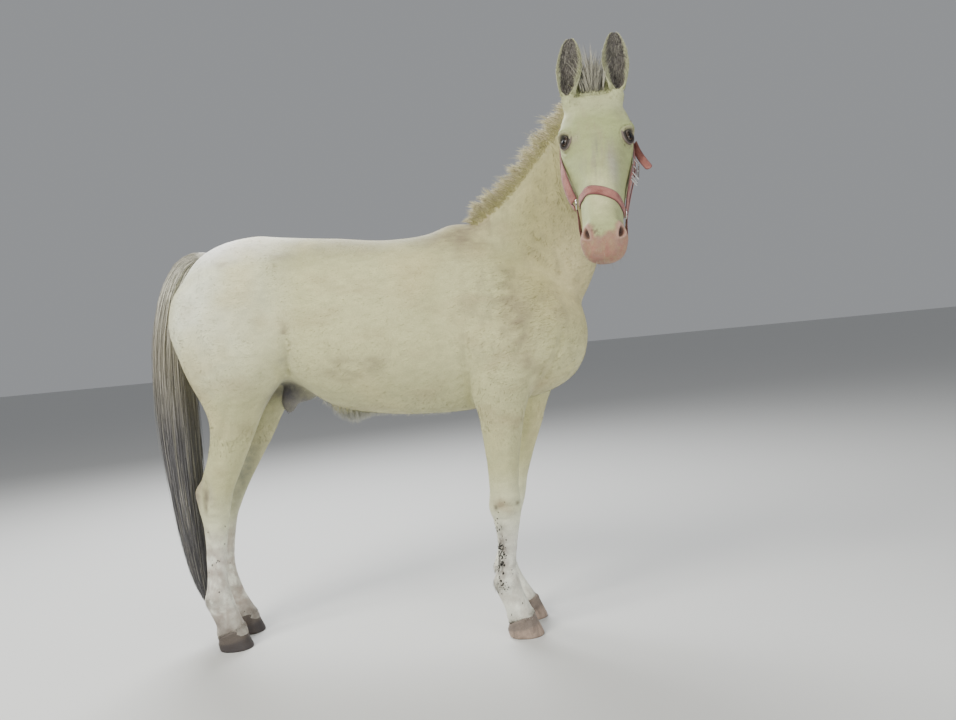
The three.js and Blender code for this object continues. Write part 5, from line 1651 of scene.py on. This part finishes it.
class HeadSurface:
    """The skin of the head in its own frame, to lay straps on."""

    def __init__(self, skin_points, tris):
        local = to_head(skin_points)
        keep = np.all(np.abs(local[tris] - [260, 0, -100]).max(axis=1) < [430, 190, 330], axis=1)
        self.tree = BVHTree.FromPolygons(local.tolist(), tris[keep].tolist())

    def hit(self, origin, way):
        place, normal, _, _ = self.tree.ray_cast(Vector(origin), Vector(way))
        return (np.array(place), np.array(normal)) if place else (None, None)


STRAP_SHAPE = np.array([
    (-0.5, 0.15), (-0.47, 0.5), (-0.25, 0.56), (0, 0.58), (0.25, 0.56), (0.47, 0.5), (0.5, 0.15), (0.5, -0.3),
    (0.46, -0.5), (0, -0.5), (-0.46, -0.5), (-0.5, -0.3),
])
RINGS = {-1: (352.0, -66.0, -82.0), 1: (398.0, 63.5, -82.0)}
# How far from the middle the straps of each cheek stand, down the face
BRIDGES = {
    -1: [(112, 101), (139, 102), (175, 102), (225, 100), (275, 93), (325, 80), (360, 66)],
    1: [(112, 103), (139, 104), (175, 103), (225, 99), (250, 95), (275, 89), (325, 77), (375, 67.5),
        (405, 63)],
}


def even_out(points, normals, rounds=6):
    for _ in range(rounds):
        points[1:-1] = (points[:-2] + 2 * points[1:-1] + points[2:]) / 4
        normals[1:-1] = (normals[:-2] + 2 * normals[1:-1] + normals[2:]) / 4
    return points, unit(normals)


def beside(line, side, share, slant, count=60):
    """Points of a strap beside the head: on the skin, or straight across its hollow."""
    line = np.array(line, float)
    along = run_of(line)
    t = np.linspace(0, along[-1], count)
    flat = np.stack([np.interp(t, along, line[:, k]) for k in (0, 1)], axis=1)
    for _ in range(4):
        flat[1:-1] = (flat[:-2] + 2 * flat[1:-1] + flat[2:]) / 4
    reach = share * np.interp(flat[:, 0], *np.array(BRIDGES[side]).T)
    points, normals = [], []
    for (s, d), free in zip(flat, reach):
        place, normal = surface.hit((s, 220 * side, d), (0, -side, 0))
        held = place is not None and abs(place[1]) > free
        points.append(place if held else np.array([s, free * side, d]))
        twist = np.interp(s, [205, 285], [0.05, slant])
        normals.append(normal if held else unit(np.array([0, side, twist])))
    return even_out(np.array(points), np.array(normals), 10)


def round_head(centre, axis, start, end, count=72):
    """Points round the head in a plane: axis is the plane's normal, angles from out of the face."""
    axis = unit(axis)
    first = unit(np.array([0, 0, 1.0]) - axis * axis[2])
    second = np.cross(axis, first)
    points, normals = [], []
    for angle in np.linspace(start, end, count):
        way = first * math.cos(angle) + second * math.sin(angle)
        place, normal = surface.hit(np.array(centre) + way * 330, -way)
        if place is not None:
            points.append(place)
            normals.append(normal)
    return even_out(np.array(points), np.array(normals))


def strap(name, points, normals, width, replaces, lift=2.2, thick=3.2):
    """Webbing along a line, a flat band with rounded edges; width may change along it."""
    along = unit(np.gradient(points, axis=0))
    across = unit(np.cross(normals, along))
    out = unit(np.cross(along, across))
    out = out * np.sign((out * normals).sum(axis=1, keepdims=True))
    wide = np.broadcast_to(width, len(points))
    rings = [at + o * lift + np.outer(STRAP_SHAPE[:, 0], a * w) + np.outer(STRAP_SHAPE[:, 1], o * thick)
             for at, a, o, w in zip(points, across, out, wide)]
    band = new_object(name, *tube([from_head(r) for r in rings]))
    values = np.stack([np.repeat(run_of(points), len(STRAP_SHAPE)), np.outer(wide, STRAP_SHAPE[:, 0]).ravel(),
                       np.tile(STRAP_SHAPE[:, 0], len(points))], axis=1)
    band.data.attributes.new("weave", "FLOAT_VECTOR", "POINT").data.foreach_set("vector", values.ravel())
    place_piece(band, webbing_look, "webbing", replaces)


def run_of(points):
    """Length along a line up to each of its points."""
    return np.concatenate([[0], np.cumsum(np.linalg.norm(np.diff(points, axis=0), axis=1))])


def metal_ring(name, centre, replaces, radius=14.0, wire=2.3):
    """Round ring that hangs in the plane of the cheek."""
    first = unit(np.cross(SIDE, [0.2, 0.3, 1.0]))
    second = np.cross(SIDE, first)
    n, m = 48, 14
    verts = []
    for a in circle(n)[0]:
        way = first * math.cos(a) + second * math.sin(a)
        for b in circle(m)[0]:
            verts.append(np.array(centre) + way * (radius + wire * math.cos(b)) + SIDE * wire * math.sin(b))
    piece = new_object(name, from_head(np.array(verts)), closed_net(n, m))
    place_piece(piece, metal_look, "metal", replaces)


def make_halter():
    nose = round_head((381, 0, -60), (1, -0.42, 0), -1.83, 1.83)
    strap("noseband", *nose, 28, "halter_noseband")
    for name, side in (("left", 1), ("right", -1)):
        ring_s = RINGS[side][0]
        cheek = [(ring_s - 8, -77), (ring_s - 100, -70), (185, -84), (120, -104), (72, -82)]
        jaw = [(ring_s + 2, -94), (ring_s - 60, -110), (210, -118), (112, -122)]
        line = beside(cheek, side, 0.975, 0.15 if side > 0 else 0.80)
        strap("cheek_strap_" + name, *line, 27, "halter_cheek_strap_" + name)
        line = beside(jaw, side, 1.0, -0.1)
        strap("jaw_strap_" + name, *line, 17, "halter_jaw_strap_" + name, lift=3.0)
        metal_ring("side_ring_" + name, RINGS[side], "halter_ring_" + name)
    crown = round_head((0, 0, -43), (0.47, 0, 0.88), -2.15, 2.15, 80)
    strap("crown_strap", *crown, 22, "halter_crown_strap", lift=1.2)
    half = np.array([(380, 65, -94), (406, 62, -98), (436, 60, -107), (450, 55, -124), (455, 38, -137),
                     (456, 18, -141), (456, 0, -141.5)], float)
    chin = np.concatenate([half, half[-2::-1] * [1, -1, 1]])
    chin[:, 0] += 0.35 * chin[:, 1]
    chin = smooth_rows(chin, np.linspace(0, len(chin) - 1, 70))
    away = unit((chin - [0, 0, -85]) * [0, 1, 1])
    strap("chin_strap", chin, away, 19, "halter_chin_strap", lift=0.0, thick=3.0)
    metal_ring("chin_ring", (456, 0, -151.5), "halter_ring_chin")
    make_buckle()
    make_loose_end()


def rod(p, q, radius, count=12):
    along = unit(q - p)
    first = unit(np.cross(along, [0.3, 0.9, 0.2]))
    _, c, s = circle(count)
    around = c[:, None] * first + s[:, None] * np.cross(along, first)
    return tube([from_head(p + (q - p) * t + radius * r * around)
                 for t, r in ((-0.04, 0.6), (-0.02, 0.9), (0, 1), (1, 1), (1.02, 0.9), (1.04, 0.6))])


def make_buckle():
    """Bar buckle on the left cheek, with its tongue and two metal keepers below it."""
    middle = np.array([248.0, 101.5, -79.0])
    down, up, out = np.array([1.0, -0.1, 0.0]), np.array([0.0, -0.5, 0.87]), np.array([0.08, 0.87, 0.5])
    bars = []

    def loop(centre, half_long, half_wide, radius):
        corners = [(-1, -1), (1, -1), (1, 1), (-1, 1)]
        for (a0, b0), (a1, b1) in zip(corners, corners[1:] + corners[:1]):
            bars.append(rod(centre + down * half_long * a0 + up * half_wide * b0,
                            centre + down * half_long * a1 + up * half_wide * b1, radius))
    loop(middle, 25.0, 16.0, 2.4)
    bars.append(rod(middle - up * 16, middle + up * 16, 2.0))
    bars.append(rod(middle + out * 2.5, middle + down * 26 + out * 3.5, 1.8))
    for below in (37.0, 47.0):
        loop(middle + down * below + [0, -0.07 * below, 0], 2.2, 15.0, 1.6)
    place_piece(new_object("cheek_buckle", *join(bars)), metal_look, "metal", "halter_buckle")


def make_loose_end():
    """Rounded end of the crown strap, springing out past the buckle."""
    path = np.array([[150, 106, -88], [185, 113, -86], [218, 124, -83], [252, 139, -80]], float)
    points = smooth_rows(path, np.linspace(0, 3, 48))
    share = np.linspace(0, 1, 48)
    across = np.outer(1 - share, [-0.35, 0.5, 0.75]) + np.outer(share, [-0.5, 0.86, 0.1])
    out = unit(np.cross(unit(np.gradient(points, axis=0)), across))
    width = 21 * np.sqrt(1 - rise(share, 0.9, 0.102) ** 2)
    strap("loose_strap_end", points, out, width, "halter_loose_end", lift=0.0, thick=3.0)


def webbing_material():
    """Faded woven webbing: fine ribs along and across, and edges darkened by painted shade."""
    mat, nodes, links, shader = material("webbing")
    place = nodes.new("ShaderNodeAttribute")
    place.attribute_name = "weave"
    place = place.outputs["Vector"]
    weave = nodes.new("ShaderNodeMath")
    weave.operation = "MULTIPLY"
    for k, (scale, way) in enumerate(((0.42, "X"), (0.55, "Y"))):
        wave = new_node(nodes, "TexWave", Scale=scale, Distortion=0.6)
        wave.bands_direction = way
        links.new(place, wave.inputs["Vector"])
        links.new(wave.outputs["Fac"], weave.inputs[k])
    faded = two_tones(nodes, links, 45, (0.25, 0.075, 0.060), (0.42, 0.165, 0.13), 0.32, 0.68)
    parts = nodes.new("ShaderNodeSeparateXYZ")
    links.new(place, parts.inputs["Vector"])
    spread = nodes.new("ShaderNodeMath")
    spread.operation = "ABSOLUTE"
    links.new(parts.outputs["Z"], spread.inputs[0])
    # painted shade darkening both edges of the strap
    edge = new_node(nodes, "MapRange", From_Min=0.34, From_Max=0.50, To_Max=0.85)
    links.new(spread.outputs["Value"], edge.inputs["Value"])
    shaded_edges = nodes.new("ShaderNodeMix")
    shaded_edges.data_type = "RGBA"
    shaded_edges.inputs["B"].default_value = (0.13, 0.035, 0.040, 1)
    links.new(edge.outputs["Result"], shaded_edges.inputs["Factor"])
    links.new(faded, shaded_edges.inputs["A"])
    links.new(shaded_edges.outputs["Result"], shader.inputs["Base Color"])
    set_inputs(shader, Roughness=0.85, Sheen_Weight=0.25)
    add_bump(nodes, links, shader, weave.outputs["Value"], 0.7, 0.0006)
    return mat


def metal_material():
    mat, nodes, links, shader = material("plated_metal")
    tones = two_tones(nodes, links, 160, (0.50, 0.48, 0.45), (0.86, 0.86, 0.85))
    links.new(tones, shader.inputs["Base Color"])
    set_inputs(shader, Metallic=1.0, Roughness=0.2)
    return mat


def unwrap(obj):
    """Map of the piece's own shape, without overlaps."""
    obj.data.uv_layers.new(name="OFBake")
    bpy.ops.object.select_all(action="DESELECT")
    obj.select_set(True)
    bpy.context.view_layer.objects.active = obj
    bpy.ops.object.mode_set(mode="EDIT")
    bpy.ops.mesh.select_all(action="SELECT")
    bpy.ops.uv.smart_project(angle_limit=math.radians(66), island_margin=0.002)
    bpy.ops.object.mode_set(mode="OBJECT")
    obj.select_set(False)


def length_of_coat(points):
    """Length of the short coat, in mm: least on the face and feet."""
    _, y, z = points.T
    long = 13 + 5 * near(points, (640, -60, 1050), (170, 200, 260))
    long += 6 * fall(z, 830, 60) * (z > 700) * (np.abs(y) < 150)
    local = to_head(points)
    jaw = rise(-local[:, 2], 120, 80)
    face = np.interp(local[:, 0], [0, 250, 450, 560], [11, 8, 5, 3]) + 7 * jaw
    long = np.where(on_head(points), face, long)
    flat = points * [1, 0, 1]
    behind = near(flat, (425, 0, 180), (30, 1, 40)) + near(flat, (-590, 0, 172), (30, 1, 40))
    low = np.interp(z, [60, 200, 400, 650], [8, 9, 8, 11]) + 14 * behind
    return np.where(z < 650, low, long)


def coat_weight(points):
    """Where the short coat grows: not on lids, nostrils or lips, closer on head and legs."""
    local = to_head(points)
    head = on_head(points)
    weight = np.where(head, 1.9, 1.0)
    weight *= 1 + 0.8 * fall(points[:, 2], 600, 200)
    weight *= 1 - 0.85 * rise(local[:, 0], 490, 30) * head
    for side in (1, -1):
        hollow, rim = nostril(local, side)
        weight *= 1 - np.clip(3 * hollow + rim, 0, 1) * head
        a, b, depth = almond(local, side)
        weight *= np.where((np.hypot(a / 26, b / 20) < 1) & (depth > -8), 0, 1)
    return weight * (points[:, 2] > 52)


def mud_weight(points):
    """Where dried mud sticks: down the front of the near cannon, and sparsely on the lower legs."""
    splash = near(points, (452, -105, 275), (16, 30, 75)) * (cloud(points, 15, 25) > 0.5)
    sparse = 0.012 * (points[:, 2] < 460) * (cloud(points, 24, 26) > 0.58)
    return splash + sparse


def whiskers():
    """A few stiff hairs on lips and chin."""
    random = np.random.default_rng(95)
    count = 90
    centre = body_map.centre
    lips = on_head(centre) & (to_head(centre)[:, 0] > 505)
    roots, normals, uv = body_map.scatter(count, lips.astype(float), 96)
    way = unit(normals + 0.4 * head_way([1, 0, -0.3]) + 0.2 * random.normal(size=(count, 3)))
    u = shares(5)
    long = random.uniform(8, 22, count)[:, None, None]
    paths = roots[:, None] + long * (u * way[:, None] - 0.2 * u * u * UP)
    tone = plain((0.30, 0.26, 0.21), count) * random.uniform(0.4, 1.6, (count, 1))
    set_hair("whiskers", "coat", paths, np.full(count, 0.45), np.cross(way, UP), tone, uv, flat=0.35)


set_camera()
set_stage()

skin_look = tinted("skin", 0.7, 260, 0.90, 1.06, bump=(420, (0.35, 1, 1), 0.5, 0.002), sheen=0.1)
hair_look = tinted("hair", 0.62, 180, 0.92, 1.06)
hoof_look = tinted("horn", 0.55, 300, 0.85, 1.1, bump=(120, (0.2, 0.2, 2.2), 0.5, 0.0015))
eye_look = tinted("eye", 0.06, 400, 0.95, 1.05)
webbing_look = webbing_material()
metal_look = metal_material()

skin = build_skin()
set_colours(skin.data, paint(mesh_arrays(skin.data)))
unwrap(skin)
place_piece(skin, skin_look, "coat", "torso", "neck", "head", *("leg_" + name for name in LEGS))
body_map = Skin(skin)
surface = HeadSurface(body_map.points, body_map.tri)

for hoof_name in LEGS:
    make_hoof(hoof_name)
for ear_name, ear_seed in (("right", 81), ("left", 83)):
    make_ear(ear_name)
    ear_hair(ear_name, ear_seed)
for eye_name, eye_side in (("left", 1), ("right", -1)):
    make_eye(eye_name, eye_side)
make_lids()
make_dock()
for tail_part, tail_seed in (("inner", 41), ("middle", 42), ("outer", 43)):
    make_tail(tail_part, tail_seed)
make_mane()
make_forelock()
make_belly_hair()
coronet_hair()
whiskers()
make_halter()

weights = coat_weight(body_map.centre)
for coat_name, coat_seed in (("coat_a", 1), ("coat_b", 2), ("coat_c", 3))[:3]:
    fur(coat_name, COAT_TUFTS, weights, length_of_coat, 2.2, 0.14, coat_seed)
mud = fur("mud_flecks", MUD_FLECKS, mud_weight(body_map.centre), 7.5, 4.6, 0.34, 5, steps=3)
mud.data.attributes.remove(mud.data.attributes["tint"])
set_colours(mud.data, plain((0.028, 0.024, 0.022), len(mud.data.vertices)))
